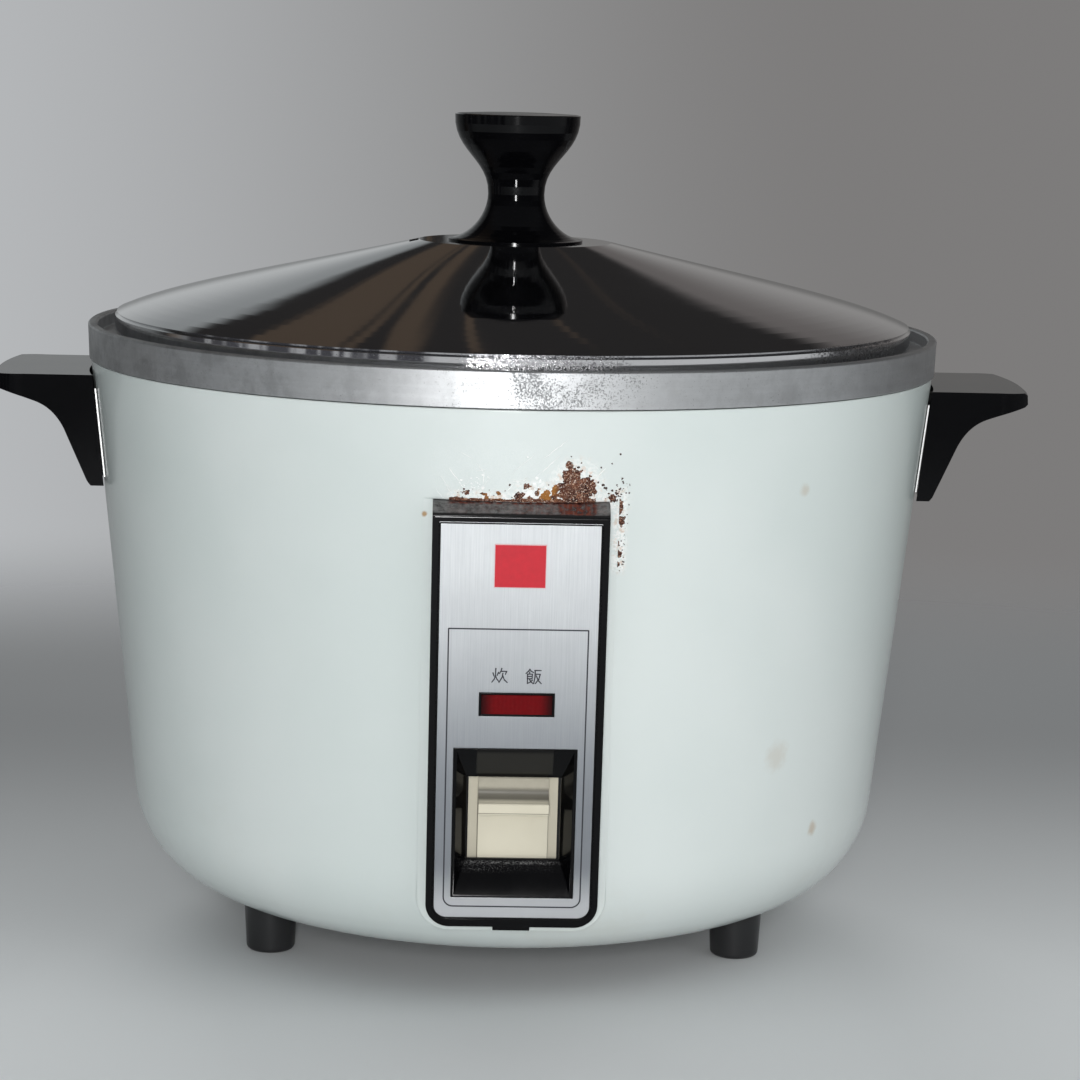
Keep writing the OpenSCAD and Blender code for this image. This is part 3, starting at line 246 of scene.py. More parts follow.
def moulded(name, colour, rough):
    """Moulded plastic: a fine grain in roughness and height, and slow changes of tone."""
    m = Finish(name, Specular_IOR_Level=0.4)
    at = m.place()
    slow = m.noise(at, 30, 4)
    fine = m.noise(at, 2500, 2)
    spread = 0.06
    m.set(
        Base_Color=m.mix(m.step(slow, 0.3, 0.7), scaled(colour, 1 - spread), scaled(colour, 1 + spread)),
        Roughness=m.plus(rough - 0.04, m.times(m.noise(at, 90, 5), 0.08)),
        Normal=m.bump(fine, 0.00002, 0.35, m.rounded(0.0004)))
    return m.material


# The button's scoop starts at this height, and its tongue reaches this far to both sides, in metres
SCOOP_Z = 0.0700
TONGUE = 0.0104


def cream_button(name):
    """Cream plastic of the push button, with painted shade in the scoop above its ledge and painted shadow
    lines round its tongue.
    """
    m = Finish(name, Specular_IOR_Level=0.22)
    at = m.place()
    x, _, z = m.parts(at)
    slow = m.noise(at, 30, 4)
    # Painted shade: the scoop above the ledge is greyed patchily, darkest in its lower part, standing in for
    # the shade in the recess
    scoop_shade = m.times(m.step(z, SCOOP_Z - 0.0002, SCOOP_Z + 0.0006), m.window(x, -TONGUE, TONGUE, 0.0001))
    deep = m.times(scoop_shade, m.window(z, SCOOP_Z - 0.001, SCOOP_Z + 0.0033, 0.0008))
    tone = m.mix(m.step(slow, 0.3, 0.7), srgb(208, 202, 183), srgb(217, 211, 192))
    patchy = m.plus(0.55, m.times(m.noise(at, 300, 4), 0.35))
    tone = m.mix(m.times(scoop_shade, patchy), tone, srgb(160, 155, 141))
    tone = m.mix(m.times(deep, 0.85), tone, srgb(92, 89, 81))
    # Painted shadow: a dark line under the ledge, and at both sides of the tongue, the side lines darker low
    # down
    under = m.times(m.window(z, 0.06655, 0.0668, 0.0001), m.window(x, -TONGUE, TONGUE, 0.0001))
    gap = m.window(m.absolute(x), 0.01035, 0.0106, 0.0001)
    beside = m.times(gap, m.step(z, 0.0665, 0.078, 0.75, 0.25))
    tone = m.mix(m.most(m.times(under, 0.7), beside), tone, srgb(88, 82, 70))
    m.set(
        Base_Color=tone,
        Roughness=m.plus(0.34, m.times(m.noise(at, 90, 5), 0.1)),
        Normal=m.bump(m.noise(at, 2500, 2), 0.00002, 0.3))
    return m.material


def metal(name, colour, rough, grain=(400, 400, 400), depth=0.00001, dull=0.15, spread=0.08):
    """Rolled, plated or cast metal: stretched grain, dull blotches and changes of tone."""
    m = Finish(name, Metallic=1.0)
    at = m.place()
    fine = m.noise(m.stretched(grain), 1.0, 3)
    slow = m.noise(at, 45, 5, 0.6)
    m.set(
        Base_Color=m.mix(slow, scaled(colour, 1 - spread), scaled(colour, 1 + spread)),
        Roughness=m.plus(rough - dull / 2, m.times(slow, dull)),
        Normal=m.bump(fine, depth, 0.5))
    return m.material


# Heights on the bezel, in metres: where its upper edge slopes, that slope's top, the well's foot and the wear
# round it, and the well's upper slope
SLOPE_Z = (0.1576, 0.1581)
SLOPE_TOP_Z = (0.1598, 0.1605)
WELL_FOOT_Z = (0.0503, 0.0512)
WELL_WEAR_Z = (0.0484, 0.0512)
WELL_ROOF_Z = (0.0785, 0.0925)


def gloss_black(name, rough=0.05, dusty=0.0, stained=False, level=0.16):
    """Polished phenolic moulding: deep black, with faint wiping marks, and dust on what faces up."""
    m = Finish(name, Specular_IOR_Level=level)
    at = m.place()
    x, y, z = m.parts(at)
    wipe = m.noise(m.stretched((900, 900, 90)), 1.0, 3)
    specks = m.step(m.noise(at, 1500, 3, 0.6), 0.70, 0.80)
    veil = m.noise(at, 42, 5, 0.6)
    lying = m.times(m.upward(0.3, 0.8), dusty)
    dust = m.times(lying, m.plus(0.3, m.times(veil, 0.8)))
    dust = m.most(dust, m.times(specks, m.plus(0.03, lying)))
    rough_value = m.plus(rough, m.plus(m.times(veil, 0.07), m.times(wipe, 0.04)))
    if not stained:
        tone = m.mix(dust, BLACK, (0.125, 0.128, 0.125))
    else:
        # Dust on the bezel's sloping upper edge, and pale wear inside the well's lower slope
        slope = m.step(z, *SLOPE_Z)
        mottle = m.step(m.noise(m.stretched((420, 420, 700)), 1.0, 5, 0.75), 0.32, 0.66, 0.35, 1.15)
        caked = m.times(m.times(slope, mottle), m.plus(0.45, m.times(veil, 0.7)))
        dust = m.most(m.times(dust, 0.12), caked)
        ledge = m.times(m.window(z, *WELL_FOOT_Z, 0.0004), m.window(x, -0.014, 0.013, 0.003))
        ledge = m.times(ledge, m.step(m.noise(m.stretched((1500, 1500, 2600)), 1.0, 5, 0.75), 0.46, 0.62))
        dust = m.most(dust, m.times(ledge, 0.8))
        thin = m.times(m.window(z, *WELL_WEAR_Z, 0.0009), m.window(x, -0.0145, 0.0135, 0.002))
        thin = m.times(thin, m.step(m.noise(m.stretched((2200, 2200, 2200)), 1.0, 4, 0.8), 0.50, 0.66))
        dust = m.most(dust, m.times(thin, m.step(x, -0.013, 0.006, 0.5, 0.12)))
        tone = m.mix(dust, BLACK, (0.17, 0.168, 0.165))
        # Streaks of rust that run down the slope, strongest right of the middle, and a rusty upper edge
        run = m.noise(m.xyz(m.times(x, 700), 1.0, m.times(z, 90)), 1.0, 4, 0.65)
        middle = m.most(m.window(x, 0.0105, 0.0215, 0.0008), m.times(m.window(x, -0.002, 0.010, 0.002), 0.45))
        middle = m.most(middle, m.times(m.window(x, -0.021, 0.027, 0.002), 0.15))
        ragged = m.step(m.noise(at, 900, 5, 0.8), 0.36, 0.5, 0.15, 1.0)
        rust = m.times(m.times(slope, ragged), m.times(middle, m.step(run, 0.3, 0.52)))
        edge = m.times(m.step(z, *SLOPE_TOP_Z), m.step(m.noise(at, 800, 4), 0.35, 0.6))
        rust = m.most(rust, m.times(edge, m.window(x, -0.021, 0.0225, 0.001)))
        crumbs = m.step(m.noise(at, 900, 4), 0.38, 0.62)
        tone = m.mix(rust, tone, m.mix(crumbs, (0.030, 0.006, 0.005), (0.135, 0.036, 0.022)))
        # The well's upper slope catches some light between its corners
        roof = m.times(m.window(z, *WELL_ROOF_Z, 0.0004), m.window(x, -0.0112, 0.0112, 0.0003))
        inside = m.step(y, -0.131, -0.1295)
        tone = m.mix(m.times(roof, inside), tone, (0.023, 0.022, 0.019))
        rough_value = m.blend(m.most(rust, dust), rough_value, 0.6)
    m.set(
        Base_Color=tone,
        Roughness=rough_value,
        Normal=m.bump(m.noise(at, 160, 2), 0.00004, 0.15))
    return m.material


# The switch panel stands in front of this y
FRONT_Y = -0.09

# Yellow and brown marks on the enamel: centre and radius in metres, and strength
MARKS = (
    ((0.0807, -0.0965, 0.0785), 0.0052, 0.2), ((0.0946, -0.0786, 0.0514), 0.0026, 0.5),
    ((0.0852, -0.1038, 0.1615), 0.0022, 0.3), ((-0.0279, -0.1308, 0.1564), 0.0009, 1.0))


def enamel(name):
    """Glossy stove enamel: slight orange peel, slow changes of tone, and stains round the switch panel."""
    m = Finish(name, IOR=1.5, Coat_Weight=0.3, Coat_Roughness=0.07)
    at = m.place()
    x, y, z = m.parts(at)
    base = m.mix(m.step(m.noise(at, 9, 3), 0.35, 0.68), (0.625, 0.685, 0.668), (0.675, 0.725, 0.71))
    # Faint warm soiling low on the wall, and the marks
    soil = m.times(m.step(z, 0.08, 0.02), m.step(m.noise(at, 26, 5, 0.7), 0.5, 0.75))
    base = m.mix(m.times(soil, 0.14), base, (0.55, 0.5, 0.38))
    for centre, radius, strength in MARKS:
        distance = m.vector("DISTANCE", at, centre)
        ragged = m.plus(distance, m.times(m.noise(at, 420, 4), radius))
        spot = m.step(ragged, radius * 0.8, radius * 1.7, 1.0, 0.0)
        base = m.mix(m.times(spot, strength), base, (0.42, 0.27, 0.13))
    front = m.step(y, FRONT_Y - 0.02, FRONT_Y, 1.0, 0.0)
    # Bleached and cracked enamel, and a warm halo, along the panel's upper edge and down its right side
    above = m.times(m.window(z, 0.1585, 0.1635, 0.0015), m.window(x, -0.021, 0.030, 0.003))
    beside = m.times(m.window(x, 0.0268, 0.0305, 0.0012), m.window(z, 0.1405, 0.165, 0.002))
    around = m.step(m.vector("DISTANCE", at, (0.0157, -0.1339, 0.1655)), 0.0045, 0.0105, 1.0, 0.0)
    cracked = m.times(m.window(x, -0.002, 0.0085, 0.003), m.window(z, 0.159, 0.1665, 0.002))
    where = m.times(m.most(m.most(above, beside), m.most(around, cracked)), front)
    fleck = m.noise(at, 1100, 5, 0.7)
    white = m.times(where, m.step(fleck, 0.42, 0.56))
    base = m.mix(m.times(white, 0.85), base, (0.86, 0.86, 0.84))
    halo = m.times(where, m.step(m.noise(at, 520, 4, 0.65), 0.5, 0.68))
    base = m.mix(m.times(halo, 0.55), base, (0.58, 0.36, 0.22))
    # Fine white scuffs scribbled over the wall left of the panel's middle
    scribble = m.noise(m.stretched((700, 60, 420)), 1.0, 6, 0.75, 2.5)
    field = m.times(m.window(x, -0.026, 0.009, 0.004), m.times(m.window(z, 0.161, 0.178, 0.004), front))
    scuff = m.times(field, m.step(m.absolute(m.minus(scribble, 0.5)), 0.0, 0.03, 1.0, 0.0))
    base = m.mix(m.times(scuff, 0.3), base, (0.86, 0.88, 0.88))
    rough = m.blend(where, m.plus(0.15, m.times(m.noise(at, 60, 4), 0.1)), 0.42)
    peel = m.bump(m.noise(at, 240, 2), 0.00005, 0.25, m.rounded(0.0009))
    m.set(Base_Color=base, Roughness=rough, Normal=m.bump(m.times(fleck, where), 0.00015, 0.5, peel))
    return m.material


def round_brushed(name, colour, rough, pits=0.0):
    """Spun aluminium: fine lines round the axis and dull mottled bands. With pits, its front is worn too."""
    m = Finish(name, Metallic=1.0)
    at = m.place()
    x, y, _ = m.parts(at)
    lines = m.noise(m.round_axis(3.0, 5200, 5200), 1.0, 4, 0.7)
    bands = m.noise(m.round_axis(1.2, 500, 700), 1.0, 3)
    mottle = m.noise(at, 150, 6, 0.7)
    tone = m.mix(bands, scaled(colour, 0.86), scaled(colour, 1.1))
    tone = m.mix(m.times(m.step(mottle, 0.42, 0.66), 0.28), tone, scaled(colour, 0.62))
    height = lines
    rough_value = m.plus(rough, m.times(m.minus(mottle, 0.5), 0.35))
    if pits:
        where = m.step(m.noise(at, 60, 4, 0.6), 0.42, 0.7)
        near = m.times(m.window(x, -0.024, 0.036, 0.014), m.step(y, -0.1, -0.05, 1.0, 0.0))
        where = m.most(m.times(where, 0.35), m.times(near, m.plus(where, 0.45)))
        # A darker, blotched stretch at the left, and one faint stain at the right
        left = m.times(m.step(x, -0.06, -0.02, 1.0, 0.0), m.step(m.noise(at, 95, 5, 0.7), 0.44, 0.62))
        tone = m.mix(m.times(left, 0.4), tone, scaled(colour, 0.5))
        stain = m.step(m.vector("DISTANCE", at, (0.079, -0.1135, 0.1905)), 0.0015, 0.0055, 1.0, 0.0)
        tone = m.mix(m.times(stain, 0.35), tone, scaled(colour, 0.6))
        grains = m.step(m.plus(m.noise(at, 1700, 6, 0.75), m.times(where, 0.12)), 0.63, 0.70)
        pit = m.times(grains, pits)
        tone = m.mix(pit, tone, scaled(colour, 0.34))
        rough_value = m.blend(pit, rough_value, 0.7)
        height = m.minus(lines, m.times(pit, 3.0))
    m.set(Base_Color=tone, Roughness=rough_value, Normal=m.bump(height, 0.00001, 0.5, m.rounded(0.0004)))
    return m.material


# The lid's upright edge ends here, in metres
LID_EDGE_Z = (0.2022, 0.2032)


def polished_lid(name):
    """Near mirror, with faint spun rings and wiping marks, and worn plating on the lid's upright edge."""
    m = Finish(name, Metallic=1.0)
    at = m.place()
    x, y, z = m.parts(at)
    rings = m.noise(m.round_axis(2.0, 900, 40), 1.0, 3)
    haze = m.noise(at, 24, 5, 0.6)
    scuffs = m.step(m.noise(m.round_axis(6.0, 1600, 90), 1.0, 6, 0.75), 0.62, 0.75)
    low = m.step(z, *LID_EDGE_Z, 1.0, 0.0)
    worn = m.most(m.window(x, -0.016, 0.028, 0.008), m.times(m.window(x, 0.088, 0.118, 0.006), 0.9))
    worn = m.times(worn, m.step(y, -0.04, -0.02, 1.0, 0.0))
    specks = m.step(m.plus(m.noise(at, 1200, 5, 0.72), m.times(worn, 0.09)), 0.57, 0.64)
    edge = m.times(m.times(low, specks), m.plus(0.1, m.times(worn, 0.9)))
    rough = m.plus(0.045, m.times(m.step(haze, 0.4, 0.8), 0.05))
    rough = m.plus(rough, m.times(scuffs, 0.05))
    m.set(
        Base_Color=m.mix(edge, (0.80, 0.80, 0.81), (0.20, 0.20, 0.21)),
        Roughness=m.blend(edge, rough, 0.5),
        Normal=m.bump(m.minus(m.times(rings, 0.3), m.times(edge, 4.0)), 0.000005, 0.5))
    return m.material


def brushed_plate(name):
    """Face plate of aluminium, brushed up and down, with cloudy darker patches and painted shade low down."""
    m = Finish(name, Metallic=1.0)
    at = m.place()
    x, _, z = m.parts(at)
    fine = m.noise(m.xyz(m.times(x, 9000), 0.0, m.times(z, 60)), 1.0, 5, 0.75)
    coarse = m.noise(m.xyz(m.times(x, 2600), 3.0, m.times(z, 30)), 1.0, 3)
    streak = m.plus(m.times(fine, 0.65), m.times(coarse, 0.35))
    cloud = m.step(m.noise(at, 70, 4), 0.3, 0.75)
    tone = m.mix(m.step(streak, 0.3, 0.7), (0.545, 0.565, 0.58), (0.71, 0.725, 0.735))
    tone = m.mix(m.times(cloud, 0.16), tone, (0.42, 0.43, 0.45))
    # Painted shade: the lower half is darkened, standing in for the darker floor it reflects, but not the
    # strip below the well, which is set to an even light grey
    dull = m.times(m.step(z, 0.066, 0.15, 1.0, 0.0), m.step(z, 0.037, 0.052))
    tone = m.mix(m.step(z, 0.040, 0.046, 1.0, 0.0), tone, (0.60, 0.61, 0.63))
    tone = m.mix(m.times(dull, 0.82), tone, (0.200, 0.216, 0.243))
    m.set(
        Base_Color=tone,
        Roughness=m.plus(0.37, m.times(streak, 0.14)),
        Normal=m.bump(streak, 0.000012, 0.5, m.rounded(0.0002)))
    return m.material


def lamp_red(name):
    """Dark red lens, with painted light that makes it lighter and livelier towards its middle."""
    m = Finish(name, IOR=1.49, Specular_IOR_Level=0.12)
    at = m.place()
    x = m.parts(at)[0]
    ribs = m.math("SINE", m.times(x, 5200))
    # Painted light: the middle of the lens is lighter, standing in for light seen through it
    middle = m.step(m.absolute(x), 0.0105, 0.006)
    glow = m.times(middle, m.plus(0.65, m.times(m.noise(at, 600, 3), 0.5)))
    m.set(
        Base_Color=m.mix(glow, (0.022, 0.0003, 0.0008), (0.145, 0.0012, 0.003)),
        Roughness=m.plus(0.14, m.times(m.noise(at, 200, 3), 0.08)),
        Normal=m.bump(ribs, 0.00003, 0.3))
    return m.material


def rusty(name):
    """Crusted rust, from dark brown scabs to orange dust."""
    m = Finish(name, Specular_IOR_Level=0.25)
    at = m.place()
    coarse = m.noise(at, 260, 5, 0.65)
    fine = m.noise(at, 1600, 5, 0.7)
    x, _, z = m.parts(at)
    swirl = m.noise(at, 900, 4, 0.6, 1.5)
    tone = m.mix(m.step(coarse, 0.38, 0.58), (0.030, 0.009, 0.007), (0.095, 0.034, 0.020))
    tone = m.mix(m.step(swirl, 0.51, 0.61), tone, (0.205, 0.088, 0.052))
    tone = m.mix(m.times(m.step(fine, 0.56, 0.63), 0.9), tone, (0.52, 0.36, 0.26))
    tone = m.mix(m.step(m.noise(at, 2300, 3, 0.6), 0.60, 0.68), tone, (0.80, 0.70, 0.62))
    # Orange rust in two places low on the crust
    orange = m.most(m.window(x, 0.0048, 0.0100, 0.0010), m.times(m.window(x, -0.0118, -0.0052, 0.0010), 0.7))
    orange = m.times(m.times(orange, m.step(z, 0.1613, 0.1619)), m.step(m.noise(at, 500, 3), 0.36, 0.5))
    tone = m.mix(m.times(orange, 0.8), tone, m.mix(swirl, (0.48, 0.22, 0.035), (0.22, 0.07, 0.02)))
    m.set(
        Base_Color=tone,
        Roughness=m.plus(0.72, m.times(fine, 0.25)),
        Normal=m.bump(m.plus(coarse, m.times(fine, 0.5)), 0.0003, 0.9))
    return m.material


def printed(name, colour, rough=0.45):
    """Print, paint or dull crust: small changes of tone and gloss."""
    m = Finish(name)
    at = m.place()
    m.set(
        Base_Color=m.mix(m.noise(at, 500, 4), scaled(colour, 0.85), scaled(colour, 1.12)),
        Roughness=m.plus(rough, m.times(m.noise(at, 900, 3), 0.12)),
        Normal=m.bump(m.noise(at, 1800, 2), 0.00001, 0.3))
    return m.material


def glass(name):
    """Warm clear glass of the neon lamp."""
    m = Finish(name, IOR=1.5, Transmission_Weight=0.85)
    at = m.place()
    m.set(
        Base_Color=m.mix(m.noise(at, 90, 3), (0.9, 0.7, 0.5), (0.95, 0.85, 0.75)),
        Roughness=m.plus(0.04, m.times(m.noise(at, 300, 3), 0.06)))
    return m.material


def braided(name):
    """Woven sleeve of the wiring."""
    m = Finish(name, Sheen_Weight=0.3, Sheen_Roughness=0.5)
    weave = m.cells(m.stretched((1400, 1400, 1400)), 1.0)
    m.set(
        Base_Color=m.mix(m.step(weave, 0.2, 0.7), (0.62, 0.59, 0.5), (0.36, 0.33, 0.27)),
        Roughness=m.plus(0.7, m.times(weave, 0.2)),
        Normal=m.bump(weave, 0.0002, 0.8))
    return m.material


# Each slot's finish: the function that makes it, and what it takes after the name
SLOTS = (
    ("enamel", enamel),
    ("zinc_steel", metal, (0.50, 0.50, 0.49), 0.38, (260, 900, 260), 0.00001, 0.15, 0.14),
    ("foot_black", moulded, (0.016, 0.016, 0.017), 0.36),
    ("screw_steel", metal, (0.52, 0.52, 0.53), 0.3, (900, 900, 900)),
    ("gloss_black", gloss_black),
    ("brushed_alloy", brushed_plate),
    ("red_enamel", printed, srgb(194, 12, 36), 0.3),
    ("red_lens", lamp_red),
    ("white_plastic", moulded, (0.68, 0.67, 0.62), 0.45),
    ("lamp_glass", glass),
    ("dark_plastic", moulded, (0.02, 0.02, 0.021), 0.45),
    ("cream_plastic", cream_button),
    ("cast_alloy", metal, (0.46, 0.46, 0.46), 0.42, (350, 350, 350), 0.00003, 0.2, 0.15),
    ("element_sheath", metal, (0.16, 0.15, 0.145), 0.55, (200, 200, 900)),
    ("white_ceramic", moulded, (0.74, 0.71, 0.63), 0.62),
    ("sensor_metal", round_brushed, (0.60, 0.60, 0.60), 0.3),
    ("ferrite", moulded, (0.05, 0.05, 0.055), 0.5),
    ("brass_parts", metal, (0.62, 0.42, 0.16), 0.34, (300, 900, 300)),
    ("bakelite_brown", moulded, (0.07, 0.02, 0.012), 0.35),
    ("wire_sleeve", braided),
    ("pot_alloy", round_brushed, (0.66, 0.67, 0.68), 0.47, 0.8),
    ("polished_metal", polished_lid))
FINISHES = {name: make(name, *more) for name, make, *more in SLOTS}


def dress_nodes():
    """Gives every CAD node the finish of its slot."""
    for obj in nodes.values():
        for entry in obj.material_slots:
            if entry.material:
                entry.material = FINISHES[entry.material.name.split(".")[0]]


dress_nodes()


# Vertices nearer than this are one, and faces that turn by less than this are one flat face
WELD = 2e-6
FLAT_TURN = math.radians(0.6)


def softened(name, node, width, body, material, turn=35, crease=None):
    """A copy of a CAD node that stands for it, with the edges that turn more than turn degrees rounded.

    Edges between crease and turn degrees stay sharp in the shading.
    """
    mesh = bpy.data.meshes.new(name)
    shape = bmesh.new()
    shape.from_mesh(nodes[node].data)
    bmesh.ops.remove_doubles(shape, verts=shape.verts, dist=WELD)
    bmesh.ops.dissolve_limit(shape, angle_limit=FLAT_TURN, verts=shape.verts, edges=shape.edges)
    for face in shape.faces:
        face.smooth = True
    for edge in shape.edges:
        if crease and len(edge.link_faces) == 2 and crease < math.degrees(edge.calc_face_angle(0)) < turn:
            edge.smooth = False
    shape.to_mesh(mesh)
    shape.free()
    mesh.materials.append(material)
    piece = new_object(name, mesh)
    piece.matrix_world = nodes[node].matrix_world
    edges = piece.modifiers.new("edges", "BEVEL")
    edges.width = width
    edges.segments = 3
    edges.limit_method = "ANGLE"
    edges.angle_limit = math.radians(turn)
    flat = piece.modifiers.new("flat", "WEIGHTED_NORMAL")
    flat.weight = 90
    flat.keep_sharp = True
    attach(piece, body)
    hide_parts(node)


HANDLE_BLACK = gloss_black("handle_black", dusty=0.15, level=0.1)
BEZEL_BLACK = gloss_black("bezel_black", dusty=1.0, stained=True, level=0.14)
softened("left_handle_body", "handle_left", 0.0007, "base", HANDLE_BLACK, turn=30, crease=10)
softened("right_handle_body", "handle_right", 0.0007, "base", HANDLE_BLACK, turn=30, crease=10)
softened("bezel_body", "switch_bezel", 0.0005, "base", BEZEL_BLACK, turn=33, crease=14)
softened("button_body", "switch_button", 0.0003, "button", FINISHES["cream_plastic"])
softened("inlet_body", "inlet_housing", 0.0006, "base", HANDLE_BLACK)


def sprung(name, node, body):
    """A coil spring that stands for its node."""
    mesh = nodes[node].data.copy()
    mesh.name = name
    mesh.materials.clear()
    mesh.materials.append(FINISHES["screw_steel"])
    piece = new_object(name, mesh)
    piece.matrix_world = nodes[node].matrix_world
    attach(piece, body)
    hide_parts(node)
    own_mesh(piece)


sprung("sensor_coil", "sensor_spring", "base")
sprung("return_coil", "return_spring", "base")

# ---------- panel geometry ----------

# The panel leans with the wall, its foot is at PANEL_Z and PANEL_R, and its face plate stands out by FACE_W
PANEL_LEAN = math.atan(17.7 / 171.6)
PANEL_Z, PANEL_R = 0.0323, 0.12098
FACE_W = 0.0037

# The shell's radius at WALL_Z, and how fast it grows upwards
WALL_R, WALL_Z, WALL_SLOPE = 0.1193, 0.016, math.tan(PANEL_LEAN)
INK_THICK = 0.00003


def on_panel(u, v, w):
    """Point of the switch panel: u to the right, v up the wall and w out of it, in metres."""
    s, c = math.sin(PANEL_LEAN), math.cos(PANEL_LEAN)
    return Vector((u, -PANEL_R - v * s - w * c, PANEL_Z + v * c - w * s))


def add_mesh(name, verts, faces, material, body, smooth=False):
    """A piece of its own, in the part's frame, that moves with body."""
    mesh = bpy.data.meshes.new(name)
    mesh.from_pydata([tuple(v) for v in verts], [], faces)
    mesh.update()
    mesh.materials.append(material)
    obj = new_object(name, mesh)
    for polygon in mesh.polygons:
        polygon.use_smooth = smooth
    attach(obj, body)


# Smallest corner radius of an outline
LEAST_R = 1e-5


def rounded_outline(half_w, low, high, low_r, high_r, steps=8):
    """Closed outline, anticlockwise, of an upright rectangle with round corners."""
    corners = (
        (half_w - high_r, high - high_r, high_r, 0), (-half_w + high_r, high - high_r, high_r, 90),
        (-half_w + low_r, low + low_r, low_r, 180), (half_w - low_r, low + low_r, low_r, 270))
    points = []
    for cx, cy, r, a0 in corners:
        for i in range(steps + 1):
            a = math.radians(a0 + 90 * i / steps)
            points.append((cx + r * math.cos(a), cy + r * math.sin(a)))
    return points


def panel_line(name, half_w, low, high, low_r, high_r, width, w, proud, material):
    """A closed printed line on the panel, as a thin raised band."""
    outer = rounded_outline(half_w, low, high, low_r, high_r)
    inner = rounded_outline(
        half_w - width, low + width, high - width, max(low_r - width, LEAST_R), max(high_r - width, LEAST_R))
    count = len(outer)
    verts, faces = [], []
    for level in (w, w + proud):
        verts += [on_panel(u, v, level) for u, v in outer] + [on_panel(u, v, level) for u, v in inner]
    for i in range(count):
        j = (i + 1) % count
        lo_out, lo_in, hi_out, hi_in = 0, count, 2 * count, 3 * count
        faces.append((hi_out + i, hi_out + j, hi_in + j, hi_in + i))
        faces.append((lo_out + i, lo_out + j, hi_out + j, hi_out + i))
        faces.append((lo_in + j, lo_in + i, hi_in + i, hi_in + j))
        faces.append((lo_out + j, lo_out + i, lo_in + i, lo_in + j))
    add_mesh(name, verts, faces, material, "base")


INK = printed("ink_dark", (0.018, 0.019, 0.028))
PALE_INK = printed("ink_pale", (0.62, 0.45, 0.47))
panel_line(
    "face_line", half_w=0.02045, low=0.0062, high=0.0924, low_r=0.003, high_r=0.0003, width=0.00042,
    w=FACE_W, proud=0.00004, material=INK)
panel_line(
    "emblem_line", half_w=0.0075, low=0.1047, high=0.1177, low_r=0.0002, high_r=0.0002, width=0.0002,
    w=0.004, proud=INK_THICK, material=PALE_INK)

# Narrow black lip inside the bezel's front
panel_line(
    "bezel_lip", half_w=0.02342, low=0.0026, high=0.12395, low_r=0.004, high_r=0.0004, width=0.0004,
    w=FACE_W - 0.00002, proud=0.0003, material=BEZEL_BLACK)

# The polished chamfer along the bezel's upper front edge: half its length, and its section in v and w
CHAMFER_U = 0.0247
CHAMFER = ((0.12545, 0.00403), (0.12585, 0.00392), (0.12585, 0.0036), (0.12545, 0.0036))


def add_chamfer():
    """A long thin wedge that faces a little upwards."""
    verts = [on_panel(u, v, w) for u in (-CHAMFER_U, CHAMFER_U) for v, w in CHAMFER]
    faces = [(0, 1, 2, 3), (7, 6, 5, 4)] + [(i, 4 + i, 4 + (i + 1) % 4, (i + 1) % 4) for i in range(4)]
    polish = gloss_black("chamfer_black", rough=0.09, level=0.3)
    add_mesh("bezel_chamfer", verts, faces, polish, "base")


add_chamfer()

# The two characters of the lamp's label, "cook" and "rice", as strokes in a unit square
COOK = (
    ((0.09, 0.66), (0.15, 0.46)), ((0.43, 0.70), (0.35, 0.50)),
    ((0.26, 0.95), (0.25, 0.52), (0.18, 0.26), (0.03, 0.06)),
    ((0.27, 0.42), (0.34, 0.26), (0.45, 0.12)), ((0.63, 0.96), (0.58, 0.78), (0.49, 0.62)),
    ((0.58, 0.77), (0.93, 0.77), (0.86, 0.58)), ((0.70, 0.64), (0.66, 0.38), (0.47, 0.05)),
    ((0.70, 0.48), (0.80, 0.22), (0.98, 0.05)))
RICE = (
    ((0.26, 0.98), (0.17, 0.84), (0.02, 0.70)), ((0.26, 0.94), (0.36, 0.84), (0.49, 0.76)),
    ((0.25, 0.80), (0.25, 0.68)), ((0.11, 0.66), (0.41, 0.66), (0.41, 0.36), (0.13, 0.36)),
    ((0.12, 0.66), (0.12, 0.06), (0.30, 0.14)),
    ((0.13, 0.51), (0.41, 0.51)), ((0.24, 0.34), (0.32, 0.18), (0.47, 0.05)), ((0.42, 0.26), (0.33, 0.20)),
    ((0.56, 0.90), (0.95, 0.90)), ((0.59, 0.90), (0.58, 0.46), (0.51, 0.05)),
    ((0.63, 0.66), (0.90, 0.66), (0.82, 0.34), (0.61, 0.05)), ((0.66, 0.56), (0.78, 0.26), (0.98, 0.05)))


def panel_strokes(name, marks, size, width, w, material):
    """Printed strokes on the panel: each mark is the strokes of one character and its middle (u, v)."""
    verts, faces = [], []
    for strokes, (cu, cv) in marks:
        for stroke in strokes:
            for (x0, z0), (x1, z1) in zip(stroke, stroke[1:]):
                along = Vector((x1 - x0, z1 - z0)).normalized() * width / 2
                first, last = (
                    Vector(((x - 0.5) * size + cu, (z - 0.5) * size + cv)) for x, z in ((x0, z0), (x1, z1)))
                # A stroke runs past its ends a little and is narrower at the last one
                first, last = first - along * 0.7, last + along * 0.7
                side = Vector((-along.y, along.x))
                corners = (first - side, last - side * 0.8, last + side * 0.8, first + side)
                low = len(verts)
                high = low + 4
                verts += [on_panel(c.x, c.y, level) for level in (w, w + INK_THICK) for c in corners]
                faces.append([high + i for i in range(4)])
                faces += [(low + i, low + (i + 1) % 4, high + (i + 1) % 4, high + i) for i in range(4)]
    add_mesh(name, verts, faces, material, "base")


panel_strokes(
    "lamp_label", ((COOK, (-0.0052, 0.0782)), (RICE, (0.0047, 0.0780))), size=0.0047, width=0.0004,
    w=FACE_W, material=INK)

# ---------- bright strips between the handles and the wall ----------

